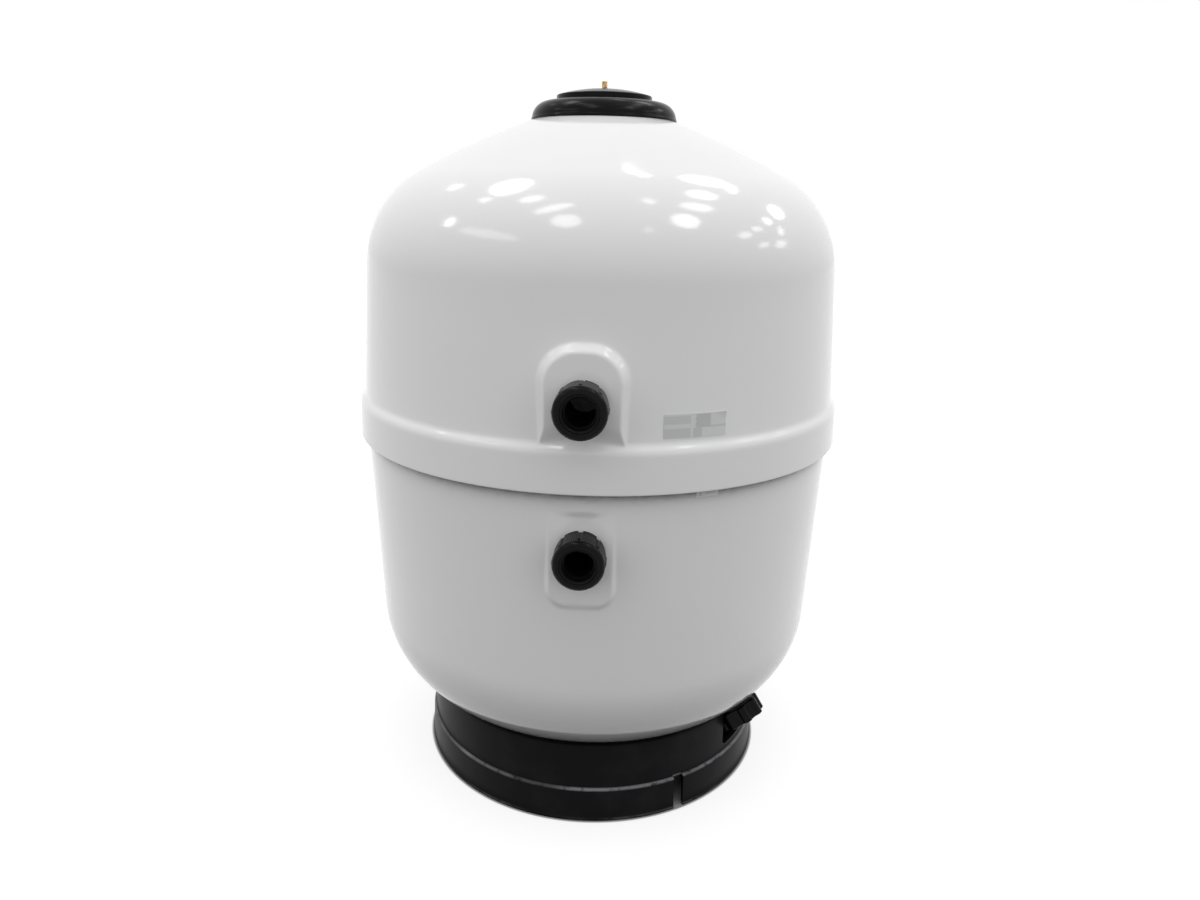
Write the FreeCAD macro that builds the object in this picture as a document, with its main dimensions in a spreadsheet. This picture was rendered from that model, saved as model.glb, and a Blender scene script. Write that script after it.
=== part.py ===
import FreeCAD, Part
import os
import re

import Sketcher

# Side-mount sand filter: a two-shell laminated vessel on a stand, with a screw lid, two unions and a drain.
# Millimetres, +Z up, origin on the floor at the vessel's axis. The two ports face -Y.
# An azimuth is counted from -Y towards +X. Port and drain pieces are drawn on their own axis,
# with height 0 on the seat face of the vessel and the outside of the vessel upwards.

SIZES = {
    # Vessel wall
    "shell_wall": 7,
    "foot_draw": 14.8,
    "foot_height": 325,
    "lower_draft": 2.2,
    "lower_knuckle": 200,
    "lower_turn": 55,
    "seam_height": 740,
    "seam_glue": 2.4,
    "seam_inset": 3,
    "belt_proud": 11.5,
    "belt_overlap": 65,
    "belt_face": 59,
    "belt_lean": 2,
    "shoulder_rise": 24,
    "shoulder_share": 0.57,
    "wall_base_radius": 445.5,
    "wall_draw": 14,
    "wall_run": 227,
    "upper_knuckle": 195,
    "upper_turn": 61,
    "crown_radius": 1368,
    # Bosses that carry the two ports
    "upper_pad_proud": 5.5,
    "upper_pad_half": 61.5,
    "upper_pad_top": 895,
    "upper_pad_corner": 44,
    "upper_pad_lift": 1,
    "upper_pad_taper": 40,
    "upper_pad_depth": 24,
    "lower_pad_sunk": 5.5,
    "lower_pad_half": 52,
    "lower_pad_bottom": 482,
    "lower_pad_corner": 30,
    "lower_pad_top": 639,
    "lower_pad_depth": 20,
    "lower_pad_taper": 12,
    "recess_depth": 12,
    "lower_port_height": 574,
    "port_spacing": 238,
    "port_seat_depth": 18,
    "port_seat_radius": 48,
    "spot_face_radius": 47,
    "spot_face_depth": 20,
    # Clearances and margins that several pieces share
    "overrun": 5,
    "root_depth": 1,
    "face_gap": 0.1,
    "bond_gap": 0.1,
    "end_gap": 0.3,
    "mouth_gap": 1,
    # Port fittings, both alike
    "tail_radius": 33,
    "tail_bore": 25,
    "tail_reach": 30,
    "tail_gap": 0.4,
    "bore_step": 4,
    "gasket_thickness": 3,
    "flange_radius": 46,
    "flange_thickness": 10,
    "spigot_length": 23,
    "lock_nut_radius": 39,
    "lock_nut_height": 12,
    "lock_notch_width": 8,
    "lock_notch_depth": 2.5,
    "union_nut_radius": 40.6,
    "union_nut_face": 34.5,
    "union_nut_opening": 29,
    "union_nut_front": 52,
    "union_nut_gap": 0.6,
    "union_nut_shoulder": 8,
    "union_nut_round": 9,
    "union_nut_lip": 14.6,
    "union_rib_radius": 4,
    "union_rib_proud": 1.4,
    "union_rib_length": 28,
    "union_rib_count": 8,
    "union_end_radius": 28.5,
    "union_collar": 32.6,
    "union_collar_height": 7,
    "union_end_front": 50.5,
    "union_socket_radius": 25.15,
    "union_socket_depth": 14,
    "union_socket_lead": 1,
    "union_gap": 0.2,
    "face_ring_inner": 27,
    "face_ring_outer": 30.3,
    "face_ring_height": 2.25,
    "face_ring_play": 0.1,
    # Pipework inside the vessel
    "pipe_radius": 25,
    "pipe_bore": 22.3,
    "socket_gap": 0.1,
    "socket_depth": 22,
    "elbow_radius": 29.5,
    "elbow_leg": 24,
    "elbow_bend": 45,
    "coupler_taper": 4,
    "inlet_riser_rise": 15,
    "diffuser_radius": 52,
    "diffuser_rise": 26,
    "diffuser_brim": 14,
    "diffuser_wall": 4,
    "window_width": 11,
    "window_height": 16,
    "window_sill": 2,
    "window_count": 8,
    # Collector at the bottom of the bed
    "hub_radius": 52,
    "hub_height": 50,
    "hub_bottom": 140,
    "hub_floor": 10,
    "hub_shoulder": 8,
    "hub_round": 12,
    "lateral_count": 8,
    "lateral_radius": 12,
    "lateral_wall": 2.5,
    "lateral_socket": 16,
    "lateral_reserve": 75.563,
    "lateral_passage": 7,
    "lateral_turn": 22.5,
    "lateral_slot": 2.5,
    "lateral_slot_cut": 5,
    "lateral_slot_count": 9,
    "lateral_slot_start": 40,
    "lateral_slot_reserve": 100,
    # Stand
    "base_foot_radius": 346,
    "base_foot_height": 6,
    "base_foot_slope": 4,
    "base_foot_step": 2,
    "base_lower_draw": 1.5,
    "base_ledge": 66,
    "base_ledge_round": 4,
    "base_ledge_step": 5.2,
    "base_upper_draw": 1.3,
    "base_rim_drop": 7.288,
    "base_rim_round": 5,
    "base_wall": 7,
    "base_wall_slope": 3,
    "seat_lip": 8,
    "seat_width": 38,
    "seat_gap": 0.3,
    "seat_thickness": 6,
    "base_rib_count": 8,
    "base_rib_width": 4,
    "base_rib_inset": 3,
    "base_slot_azimuth": 31.8,
    "base_slot_width": 21,
    "base_slot_depth": 10,
    "base_notch_width": 98,
    "base_notch_floor": 70,
    # Neck and lid
    "neck_radius": 110,
    "neck_bore": 96,
    "neck_flange": 132,
    "neck_flange_thickness": 7,
    "neck_rise": 11.275,
    "thread_gap": 0.4,
    "seal_inner": 99,
    "seal_outer": 106,
    "seal_height": 4,
    "seal_groove": 2.4,
    "seal_play": 0.2,
    "lid_flange_radius": 107.5,
    "lid_flange_thickness": 6,
    "lid_radius": 86,
    "lid_edge_rise": 25,
    "lid_edge_round": 2,
    "lid_dome_radius": 308,
    "lid_spigot_radius": 95.5,
    "lid_spigot_depth": 8,
    "lid_skin": 7,
    "lid_boss_radius": 16,
    "nut_radius": 132,
    "nut_skirt_drop": 12,
    "nut_skirt_lean": 1.5,
    "nut_shell_gap": 1.5,
    "nut_round": 29.5,
    "nut_brow_radius": 101,
    "nut_brow_rise": 13.6,
    "nut_crest_rise": 17,
    "nut_disc_gap": 1.5,
    "nut_lip_gap": 0.2,
    # Air bleed on the lid's axis
    "bush_radius": 8,
    "bush_flange": 11,
    "bush_flange_height": 2,
    "bush_proud": 0.4,
    "boss_rise": 11,
    "stem_radius": 4.85,
    "stem_gap": 0.2,
    "stem_rise": 50,
    "stem_chamfer": 0.8,
    "stem_head_radius": 9,
    "stem_head_height": 4,
    "stem_seal_height": 2.8,
    "stem_seal_inset": 0.5,
    # Drain
    "drain_azimuth": 60,
    "drain_pitch": 52,
    "drain_inset": 14.5,
    "drain_stand": 3.5,
    "drain_boss_radius": 46,
    "drain_seat_depth": 13,
    "drain_seat_radius": 39,
    "drain_tail_radius": 24,
    "drain_tail_reach": 26,
    "drain_bore": 19,
    "drain_flange_radius": 37,
    "drain_flange_thickness": 9,
    "drain_spigot_radius": 22,
    "drain_spigot_length": 12,
    "drain_nut_radius": 37.5,
    "drain_nut_height": 10,
    "cap_core_radius": 39,
    "cap_lobe_radius": 9.5,
    "cap_lobe_proud": 7,
    "cap_lobe_count": 8,
    "cap_end": 42,
    "cap_gap": 0.6,
    "cap_edge": 2,
    "cap_seal_height": 2,
    "cap_seal_inset": 0.4,
    "cap_recess_radius": 26,
    "cap_recess_depth": 7,
    "strainer_radius": 25,
    "strainer_length": 46,
    "strainer_edge": 2,
    "strainer_floor": 3,
    "strainer_sill": 5,
    "strainer_window": 6,
    "strainer_window_length": 26,
    "strainer_window_count": 6,
}

FORMULAS = {
    # The vessel's other radii follow the wall's
    "foot_radius": "wall_base_radius - foot_draw",
    "belt_radius": "wall_base_radius + belt_proud",
    "wall_top_radius": "wall_base_radius - wall_draw",
    "belt_bottom": "seam_height - belt_overlap",
    "shoulder_start": "belt_bottom + belt_face",
    "shoulder_top": "shoulder_start + shoulder_rise",
    "wall_top": "shoulder_top + wall_run",
    "upper_pad_foot": "shoulder_top - upper_pad_lift",
    "upper_pad_face": "wall_base_radius + upper_pad_proud",
    "lower_pad_face": "wall_base_radius - lower_pad_sunk",
    # Upper profile: a drafted wall, a knuckle and a flat crown that is centred beyond the axis
    "upper_draft": "atan((wall_base_radius - wall_top_radius) / (wall_top - shoulder_top))",
    "upper_centre": "wall_top_radius - upper_knuckle * cos(upper_draft)",
    "upper_centre_height": "wall_top - upper_knuckle * sin(upper_draft)",
    "crown_centre": "upper_centre - (crown_radius - upper_knuckle) * cos(upper_turn)",
    "crown_centre_height": "upper_centre_height - (crown_radius - upper_knuckle) * sin(upper_turn)",
    "shoulder_drop": "belt_radius - belt_lean - wall_base_radius",
    "shoulder_round": "(shoulder_drop ^ 2 + shoulder_rise ^ 2) / (2 * shoulder_drop)",
    # Lower profile: a drafted wall, a knuckle and a bottom that is centred on the axis
    "lower_centre": "foot_radius - lower_knuckle * cos(lower_draft)",
    "lower_centre_height": "foot_height + lower_knuckle * sin(lower_draft)",
    "bottom_radius": "lower_knuckle + lower_centre / cos(lower_turn)",
    "bottom_centre_height": "lower_centre_height + (bottom_radius - lower_knuckle) * sin(lower_turn)",
    "socket_radius": "foot_radius + (seam_height - foot_height) * tan(lower_draft) + seam_glue",
    "knuckle_start": "lower_centre + lower_knuckle * cos(lower_turn)",
    # Ports
    "upper_port_height": "lower_port_height + port_spacing",
    "tail_hole": "tail_radius + tail_gap",
    "flange_front": "-port_seat_depth - gasket_thickness",
    "flange_back": "flange_front - flange_thickness",
    "elbow_mouth": "flange_back - mouth_gap",
    "upper_elbow_centre": "-upper_pad_face - elbow_mouth + elbow_leg",
    "inlet_riser_place": "upper_elbow_centre + elbow_bend",
    "union_start": "tail_reach + union_gap",
    "collar_front": "union_start + union_collar_height",
    "union_nut_base": "lock_nut_height + union_nut_gap",
    "pipe_socket": "pipe_radius + socket_gap",
    "inlet_riser_top": "wall_top + inlet_riser_rise",
    "lateral_tip": "knuckle_start - lateral_reserve",
    "lateral_slot_run": "lateral_tip - lateral_slot_reserve",
    # Stand
    "base_lower_radius": "base_foot_radius - base_foot_step",
    "base_lower_top_radius": "base_lower_radius - base_lower_draw",
    "base_upper_radius": "base_lower_top_radius - base_ledge_step",
    "base_top_radius": "base_upper_radius - base_upper_draw",
    "base_inner_radius": "base_top_radius - base_wall",
    "seat_outer": "base_top_radius - seat_lip",
    "seat_inner": "seat_outer - seat_width",
    "seat_round": "seat_outer < knuckle_start ? bottom_radius : lower_knuckle",
    # Neck and lid
    "mouth_radius": "neck_radius + bond_gap",
    "crown_reach": "mouth_radius - crown_centre",
    "neck_top": "crown_centre_height + sqrt(crown_radius ^ 2 - crown_reach ^ 2) + neck_rise",
    "seal_top": "neck_top - seal_groove + seal_height",
    "lid_bottom": "seal_top + face_gap",
    "lid_flange_top": "lid_bottom + lid_flange_thickness",
    "nut_lip": "lid_flange_top + nut_lip_gap",
    "nut_bore": "neck_radius + thread_gap",
    "nut_skirt_top": "neck_top - nut_skirt_drop",
    "nut_brow": "neck_top + nut_brow_rise",
    "nut_crest": "neck_top + nut_crest_rise",
    "lid_edge": "neck_top + lid_edge_rise",
    "dome_edge": "lid_radius - lid_edge_round",
    "dome_centre": "lid_edge - sqrt(lid_dome_radius ^ 2 - dome_edge ^ 2)",
    "boss_bottom": "neck_top + boss_rise",
    "stem_top": "neck_top + stem_rise",
    "bush_bottom": "boss_bottom - bush_flange_height",
    "stem_head_top": "bush_bottom - stem_seal_height - 2 * face_gap",
    # Drain
    "drain_radius": "knuckle_start - drain_inset",
    "drain_height": "bottom_centre_height - sqrt(bottom_radius ^ 2 - drain_radius ^ 2) - drain_stand",
    "drain_flange_front": "-drain_seat_depth - gasket_thickness",
    "drain_flange_back": "drain_flange_front - drain_flange_thickness",
    "cap_floor": "drain_tail_reach + cap_seal_height + 2 * face_gap",
    "cap_start": "drain_nut_height + cap_gap",
    "strainer_mouth": "drain_flange_back - mouth_gap",
}

WORD = re.compile(r"[A-Za-z_][A-Za-z_0-9]*")
ON_THE_FLOOR = "placement(vector(0; 0; 0); rotation(0; 0; 0))"
PARTS = []

doc = FreeCAD.newDocument("sand_filter")
sheet = doc.addObject("Spreadsheet::Sheet", "sizes")
for row, (alias, number) in enumerate(SIZES.items(), start=1):
    sheet.set(f"A{row}", str(number))
    sheet.setAlias(f"A{row}", alias)
doc.recompute()


def linked(text):
    """Gives the text with each size as a cell reference and each formula written out."""
    def swap(match):
        word = match.group(0)
        if word in FORMULAS:
            return "(" + linked(FORMULAS[word]) + ")"
        if word in SIZES:
            return "sizes." + word
        return word

    return WORD.sub(swap, str(text))


def number_of(text):
    """Works a text out to a number with the sizes in the sheet."""
    result = sheet.evalExpression(linked(text))
    return float(getattr(result, "Value", result))


def crown_height(radius, offset="0"):
    """Height of the crown at a radius, on a surface offset outwards from the vessel's outside."""
    reach = f"(({radius}) - crown_centre)"
    return f"(crown_centre_height + sqrt((crown_radius + ({offset})) ^ 2 - {reach} ^ 2))"


def bottom_height(radius, offset="0"):
    """Height of the vessel's underside at a radius, on a surface offset outwards from its outside."""
    bottom = f"bottom_centre_height - sqrt((bottom_radius + ({offset})) ^ 2 - ({radius}) ^ 2)"
    reach = f"(({radius}) - lower_centre)"
    knuckle = f"lower_centre_height - sqrt((lower_knuckle + ({offset})) ^ 2 - {reach} ^ 2)"
    return f"(({radius}) < knuckle_start ? {bottom} : {knuckle})"


def lower_wall(height, offset="0"):
    """Radius of the lower shell's drafted wall at a height, on a surface offset outwards."""
    return f"(foot_radius + ({offset}) / cos(lower_draft) + (({height}) - foot_height) * tan(lower_draft))"


def upper_wall(height, offset="0"):
    """Radius of the upper shell's drafted wall at a height, on a surface offset outwards."""
    drawn_in = f"(({height}) - shoulder_top) * tan(upper_draft)"
    return f"(wall_base_radius + ({offset}) / cos(upper_draft) - {drawn_in})"


def dome_height(radius):
    """Height of the lid's domed top at a radius."""
    return f"(dome_centre + sqrt(lid_dome_radius ^ 2 - ({radius}) ^ 2))"


def port_place(face, height):
    """Placement of a piece drawn on the port's axis: its height 0 on the boss face, its top towards -Y."""
    return f"placement(vector(0; -({face}); {height}); rotation(vector(1; 0; 0); 90))"


def outward(azimuth, radius):
    """Two coordinates of a point at an azimuth and a radius from the vessel's axis."""
    return f"({radius}) * sin({azimuth}); -({radius}) * cos({azimuth})"


DRAIN_PLACE = (
    f"placement(vector({outward('drain_azimuth', 'drain_radius')}; drain_height); "
    "rotation(drain_azimuth - 90; 90 + drain_pitch; 0))"
)


def origin_plane(body, role):
    """Finds one of a body's own origin planes or axes."""
    return next(feature for feature in body.Origin.OriginFeatures if feature.Role == role)


def sketch_on(body, role, name, offset="0"):
    """Adds a sketch on an origin plane of the body, moved along the plane's normal."""
    sketch = body.newObject("Sketcher::SketchObject", name)
    sketch.AttachmentSupport = [(origin_plane(body, role), "")]
    sketch.MapMode = "FlatFace"
    if offset != "0":
        moved = FreeCAD.Vector(0, 0, number_of(offset))
        sketch.AttachmentOffset = FreeCAD.Placement(moved, FreeCAD.Rotation())
        sketch.setExpression("AttachmentOffset.Base.z", linked(offset))
    return sketch


def arc_between(start, end, radius):
    """A short arc from start to end: a positive radius turns left, a negative one turns right."""
    size = abs(radius)
    chord = end - start
    reach = max(size ** 2 - chord.Length ** 2 / 4, 0) ** 0.5
    side = FreeCAD.Vector(-chord.y, chord.x, 0).normalize() * (1 if radius > 0 else -1)
    centre = (start + end) * 0.5 + side * reach
    first, last = (start, end) if radius > 0 else (end, start)
    circle = Part.Circle(centre, FreeCAD.Vector(0, 0, 1), size)
    return Part.ArcOfCircle(circle, circle.parameter(first), circle.parameter(last))


def outline(sketch, steps):
    """Draws a closed line through the steps.

    A step is (across, up), or (across, up, radius) where an arc follows.
    """
    corners = [FreeCAD.Vector(number_of(step[0]), number_of(step[1]), 0) for step in steps]
    rules = []
    bindings = []
    starts = []
    ends = []
    for index, step in enumerate(steps):
        start = corners[index]
        end = corners[(index + 1) % len(steps)]
        radius = number_of(step[2]) if len(step) > 2 else 0
        if radius:
            sketch.addGeometry(arc_between(start, end, radius), False)
            bindings.append((len(rules), f"abs({step[2]})"))
            rules.append(Sketcher.Constraint("Radius", index, abs(radius)))
        else:
            sketch.addGeometry(Part.LineSegment(start, end), False)
        starts.append(2 if radius < 0 else 1)
        ends.append(1 if radius < 0 else 2)
    for index, step in enumerate(steps):
        following = (index + 1) % len(steps)
        rules.append(Sketcher.Constraint("Coincident", index, ends[index], following, starts[following]))
        corner = corners[index]
        for kind, text, value in (("DistanceX", step[0], corner.x), ("DistanceY", step[1], corner.y)):
            if str(text) == "0":
                axis = -2 if kind == "DistanceX" else -1
                rules.append(Sketcher.Constraint("PointOnObject", index, starts[index], axis))
            else:
                bindings.append((len(rules), text))
                rules.append(Sketcher.Constraint(kind, -1, 1, index, starts[index], value))
    sketch.addConstraint(rules)
    for index, text in bindings:
        sketch.setExpression(f"Constraints[{index}]", linked(text))
    return sketch


def new_body(label, place=ON_THE_FLOOR):
    """Adds a body with a label and a placement that follows the sizes."""
    body = doc.addObject("PartDesign::Body", label)
    body.Label = label
    body.setExpression("Placement", linked(place))
    return body


def turned(label, steps, place=ON_THE_FLOOR):
    """Adds a body turned about its vertical axis from a closed line of (radius, height) steps."""
    body = new_body(label, place)
    sketch = outline(sketch_on(body, "XZ_Plane", label + "_profile"), steps)
    turn = body.newObject("PartDesign::Revolution", label + "_turn")
    turn.Profile = sketch
    turn.ReferenceAxis = (sketch, ["V_Axis"])
    turn.Angle = 360
    doc.recompute()
    return body


def ring(label, inner, outer, bottom, top, place=ON_THE_FLOOR):
    """Adds a plain turned ring."""
    return turned(label, [(inner, bottom), (outer, bottom), (outer, top), (inner, top)], place)


def extruded(body, kind, name, sketch, length, both_ways=False, backwards=False):
    """Adds a Pad or a Pocket of a sketch to the body."""
    feature = body.newObject("PartDesign::" + kind, name)
    feature.Profile = sketch
    feature.Length = number_of(length)
    feature.setExpression("Length", linked(length))
    feature.Midplane = both_ways
    feature.Reversed = backwards
    doc.recompute()
    return feature


def repeated_round(body, feature, name, count):
    """Repeats a feature of the body evenly about the body's vertical axis."""
    pattern = body.newObject("PartDesign::PolarPattern", name)
    pattern.Originals = [feature]
    pattern.Axis = (origin_plane(body, "Z_Axis"), [""])
    pattern.Angle = 360
    pattern.setExpression("Occurrences", linked(count))
    body.Tip = pattern
    doc.recompute()
    return pattern


def cylinder(name, radius, bottom, top, place=ON_THE_FLOOR):
    """Adds a cylinder between two heights on the axis of a placement."""
    solid = doc.addObject("Part::Cylinder", name)
    solid.setExpression("Radius", linked(radius))
    solid.setExpression("Height", linked(f"({top}) - ({bottom})"))
    lifted = f"placement(vector(0; 0; {bottom}); rotation(0; 0; 0))"
    solid.setExpression("Placement", linked(f"{place} * {lifted}"))
    return solid


def block(name, azimuth, inner, outer, width, bottom, top):
    """Adds a box that points outwards at an azimuth, between two radii and two heights."""
    solid = doc.addObject("Part::Box", name)
    solid.setExpression("Length", linked(f"({outer}) - ({inner})"))
    solid.setExpression("Width", linked(width))
    solid.setExpression("Height", linked(f"({top}) - ({bottom})"))
    turn = f"placement(vector(0; 0; 0); rotation(({azimuth}) - 90; 0; 0))"
    corner = f"placement(vector({inner}; -({width}) / 2; {bottom}); rotation(0; 0; 0))"
    solid.setExpression("Placement", linked(f"{turn} * {corner}"))
    return solid


def joined(name, *solids):
    """Fuses solids into one."""
    fusion = doc.addObject("Part::MultiFuse", name)
    fusion.Shapes = list(solids)
    return fusion


def without(name, solid, tool):
    """Cuts the tool out of the solid."""
    cut = doc.addObject("Part::Cut", name)
    cut.Base = solid
    cut.Tool = tool
    return cut


def keep(*pieces):
    """Marks finished pieces, each of which is written to a file named by its label."""
    for piece in pieces:
        piece.Label = piece.Name
        PARTS.append(piece)


def rounded_pad(name, face, half, corner, ends, depth, taper):
    """A boss with straight sides and two rounded corners, that widens from its flat face into the wall."""
    foot, tip = ends
    body = new_body(name)
    sketch = sketch_on(body, "XZ_Plane", name + "_profile", face)
    upwards = number_of(tip) > number_of(foot)
    side = f"{tip} - {corner}" if upwards else f"{tip} + {corner}"
    top = f"{half} - {corner}"
    if upwards:
        steps = [
            (f"-{half}", foot),
            (half, foot),
            (half, side, corner),
            (top, tip),
            (f"-({top})", tip, corner),
            (f"-{half}", side),
        ]
    else:
        steps = [
            (half, foot),
            (f"-{half}", foot),
            (f"-{half}", side, corner),
            (f"-({top})", tip),
            (top, tip, corner),
            (half, side),
        ]
    outline(sketch, steps)
    pad = extruded(body, "Pad", name + "_pad", sketch, depth, backwards=True)
    pad.setExpression("TaperAngle", linked(taper))
    doc.recompute()
    return body


def port_cuts(side, place):
    """The boss's seat as solid, the spot face behind it and the hole for the tail."""
    seat = cylinder(side + "_seat", "port_seat_radius", "-port_seat_depth", "0", place)
    spot_face = cylinder(side + "_spot_face", "spot_face_radius", "-port_seat_depth - spot_face_depth",
                         "-port_seat_depth", place)
    hole = cylinder(side + "_hole", "tail_hole", "-2 * port_seat_depth", "port_seat_depth", place)
    return seat, spot_face, hole


def upper_shell():
    """Top half of the vessel: skirt belt, drafted wall, knuckle, crown and the upper port's arched boss."""
    knuckle_end = ("upper_centre + upper_knuckle * cos(upper_turn)",
                   "upper_centre_height + upper_knuckle * sin(upper_turn)")
    middle = ("belt_radius - belt_lean - shoulder_drop * shoulder_share",
              "shoulder_start + shoulder_rise * shoulder_share")
    outside = turned("upper_outside", [
        ("0", "belt_bottom"),
        ("belt_radius", "belt_bottom"),
        ("belt_radius - belt_lean", "shoulder_start", "shoulder_round * shoulder_share"),
        (*middle, "-shoulder_round * (1 - shoulder_share)"),
        ("wall_base_radius", "shoulder_top"),
        ("wall_top_radius", "wall_top", "upper_knuckle"),
        (*knuckle_end, "crown_radius"),
        ("mouth_radius / 2", crown_height("mouth_radius / 2")),
        ("0", crown_height("mouth_radius / 2")),
    ])
    inner_knuckle = "(upper_knuckle - shell_wall)"
    cavity = turned("upper_cavity", [
        ("0", "belt_bottom - overrun"),
        ("socket_radius", "belt_bottom - overrun"),
        ("socket_radius", "seam_height + seam_glue"),
        (upper_wall("seam_height + seam_glue", "-shell_wall"), "seam_height + seam_glue"),
        (f"upper_centre + {inner_knuckle} * cos(upper_draft)",
         f"upper_centre_height + {inner_knuckle} * sin(upper_draft)", inner_knuckle),
        (f"upper_centre + {inner_knuckle} * cos(upper_turn)",
         f"upper_centre_height + {inner_knuckle} * sin(upper_turn)", "crown_radius - shell_wall"),
        ("mouth_radius / 2", crown_height("mouth_radius / 2", "-shell_wall")),
        ("0", crown_height("mouth_radius / 2", "-shell_wall")),
    ])
    pad = rounded_pad("upper_pad", "upper_pad_face", "upper_pad_half", "upper_pad_corner",
                      ("upper_pad_foot", "upper_pad_top"), "upper_pad_depth", "upper_pad_taper")
    place = port_place("upper_pad_face", "upper_port_height")
    seat, spot_face, hole = port_cuts("upper", place)
    mouth = cylinder("mouth", "mouth_radius", "wall_top", crown_height("mouth_radius / 2") + " + overrun")
    hollow = without("upper_hollow", cavity, seat)
    voids = joined("upper_voids", hollow, spot_face, hole, mouth)
    return without("upper_shell", joined("upper_solid", outside, pad), voids)


def lower_shell():
    """Bottom half of the vessel, with the lower port's flat pad and recess, and the drain's seat."""
    def profile(name, offset, top):
        knuckle = f"(lower_knuckle + ({offset}))"
        return turned(name, [
            ("0", bottom_height("0", offset), f"bottom_radius + ({offset})"),
            (f"lower_centre + {knuckle} * cos(lower_turn)",
             f"lower_centre_height - {knuckle} * sin(lower_turn)", knuckle),
            (f"lower_centre + {knuckle} * cos(lower_draft)",
             f"lower_centre_height - {knuckle} * sin(lower_draft)"),
            (lower_wall(top, offset), top),
            ("0", top),
        ])

    outside = profile("lower_outside", "0", "seam_height")
    cavity = profile("lower_cavity", "-shell_wall", "seam_height + overrun")
    pad = rounded_pad("lower_pad", "lower_pad_face", "lower_pad_half", "lower_pad_corner",
                      ("lower_pad_top", "lower_pad_bottom"), "lower_pad_depth", "lower_pad_taper")
    place = port_place("lower_pad_face", "lower_port_height")
    seat, spot_face, hole = port_cuts("lower", place)
    recess = doc.addObject("Part::Box", "lower_recess")
    recess.setExpression("Length", linked("2 * lower_pad_half"))
    recess.setExpression("Width", linked("recess_depth"))
    recess.setExpression("Height", linked("lower_pad_top - lower_pad_bottom - lower_pad_corner"))
    corner = "vector(-lower_pad_half; -lower_pad_face - recess_depth; lower_pad_bottom + lower_pad_corner)"
    recess.setExpression("Placement", linked(f"placement({corner}; rotation(0; 0; 0))"))
    drain_boss = cylinder("drain_boss", "drain_boss_radius", "-drain_seat_depth", "0", DRAIN_PLACE)
    drain_seat = cylinder("drain_seat", "drain_seat_radius", "-drain_seat_depth", "0", DRAIN_PLACE)
    drain_hole = cylinder("drain_hole", "drain_tail_radius + tail_gap", "-3 * drain_seat_depth",
                          "drain_seat_depth", DRAIN_PLACE)
    drain_spot = cylinder("drain_spot", "drain_seat_radius", "-3 * drain_seat_depth", "-drain_seat_depth",
                          DRAIN_PLACE)
    hollow = without("lower_hollow", cavity, joined("lower_seats", seat, drain_seat))
    solid = joined("lower_solid", outside, pad, drain_boss)
    voids = joined("lower_voids", hollow, spot_face, hole, recess, drain_hole, drain_spot)
    return without("lower_shell", solid, voids)


def bond_seam():
    """Adhesive between the lower shell's rim and the belt, with a foot over the rim's end."""
    bottom = "belt_bottom + seam_inset"
    rim = lower_wall("seam_height", "-shell_wall")
    return turned("bond_seam", [
        (lower_wall(bottom, "bond_gap / 2"), bottom),
        ("socket_radius - bond_gap / 2", bottom),
        ("socket_radius - bond_gap / 2", "seam_height + seam_glue - bond_gap / 2"),
        (rim, "seam_height + seam_glue - bond_gap / 2"),
        (rim, "seam_height + bond_gap / 2"),
        (lower_wall("seam_height + bond_gap / 2", "bond_gap / 2"), "seam_height + bond_gap / 2"),
    ])


def base_ring():
    """Stepped stand: a lower band, a ledge, an upper band and an inturned seat under the vessel."""
    under = "seat_gap + seat_thickness"
    rib_tip = "seat_inner + base_rib_inset"
    rim = f"({bottom_height('base_top_radius')} - base_rim_drop)"
    body = turned("base_blank", [
        ("base_foot_radius - base_wall", "0"),
        ("base_foot_radius", "0"),
        ("base_foot_radius", "base_foot_height"),
        ("base_lower_radius", "base_foot_height + base_foot_slope"),
        ("base_lower_top_radius", "base_ledge - base_ledge_round", "base_ledge_round"),
        ("base_lower_top_radius - base_ledge_round", "base_ledge"),
        ("base_upper_radius", "base_ledge"),
        ("base_top_radius", f"{rim} - base_rim_round", "base_rim_round"),
        ("base_top_radius - base_rim_round", rim),
        ("seat_outer", bottom_height("seat_outer", "seat_gap"), "-(seat_round + seat_gap)"),
        ("seat_inner", bottom_height("seat_inner", "seat_gap")),
        ("seat_inner", bottom_height("seat_inner", under), f"seat_round + {under}"),
        ("base_inner_radius", bottom_height("base_inner_radius", under)),
        ("base_inner_radius", "base_ledge - base_wall"),
        ("base_lower_top_radius - base_wall", "base_ledge - base_wall - base_wall_slope"),
    ])
    sketch = outline(sketch_on(body, "XZ_Plane", "base_rib_profile"), [
        ("base_inner_radius + root_depth", "base_ledge + base_ledge_round"),
        ("base_inner_radius + root_depth", bottom_height("base_inner_radius", under)),
        (rib_tip, bottom_height(rib_tip, f"{under} - root_depth")),
    ])
    rib = extruded(body, "Pad", "base_rib", sketch, "base_rib_width", both_ways=True)
    repeated_round(body, rib, "base_ribs", "base_rib_count")
    slot = block("base_slot", "base_slot_azimuth", "base_lower_radius - base_slot_depth",
                 "base_foot_radius + overrun", "base_slot_width", "-overrun", "base_ledge + overrun")
    notch = block("base_notch", "drain_azimuth", "seat_inner - overrun", "base_foot_radius + overrun",
                  "base_notch_width", "base_notch_floor", f"{rim} + overrun")
    return without("base_ring", body, joined("base_openings", slot, notch))


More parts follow.
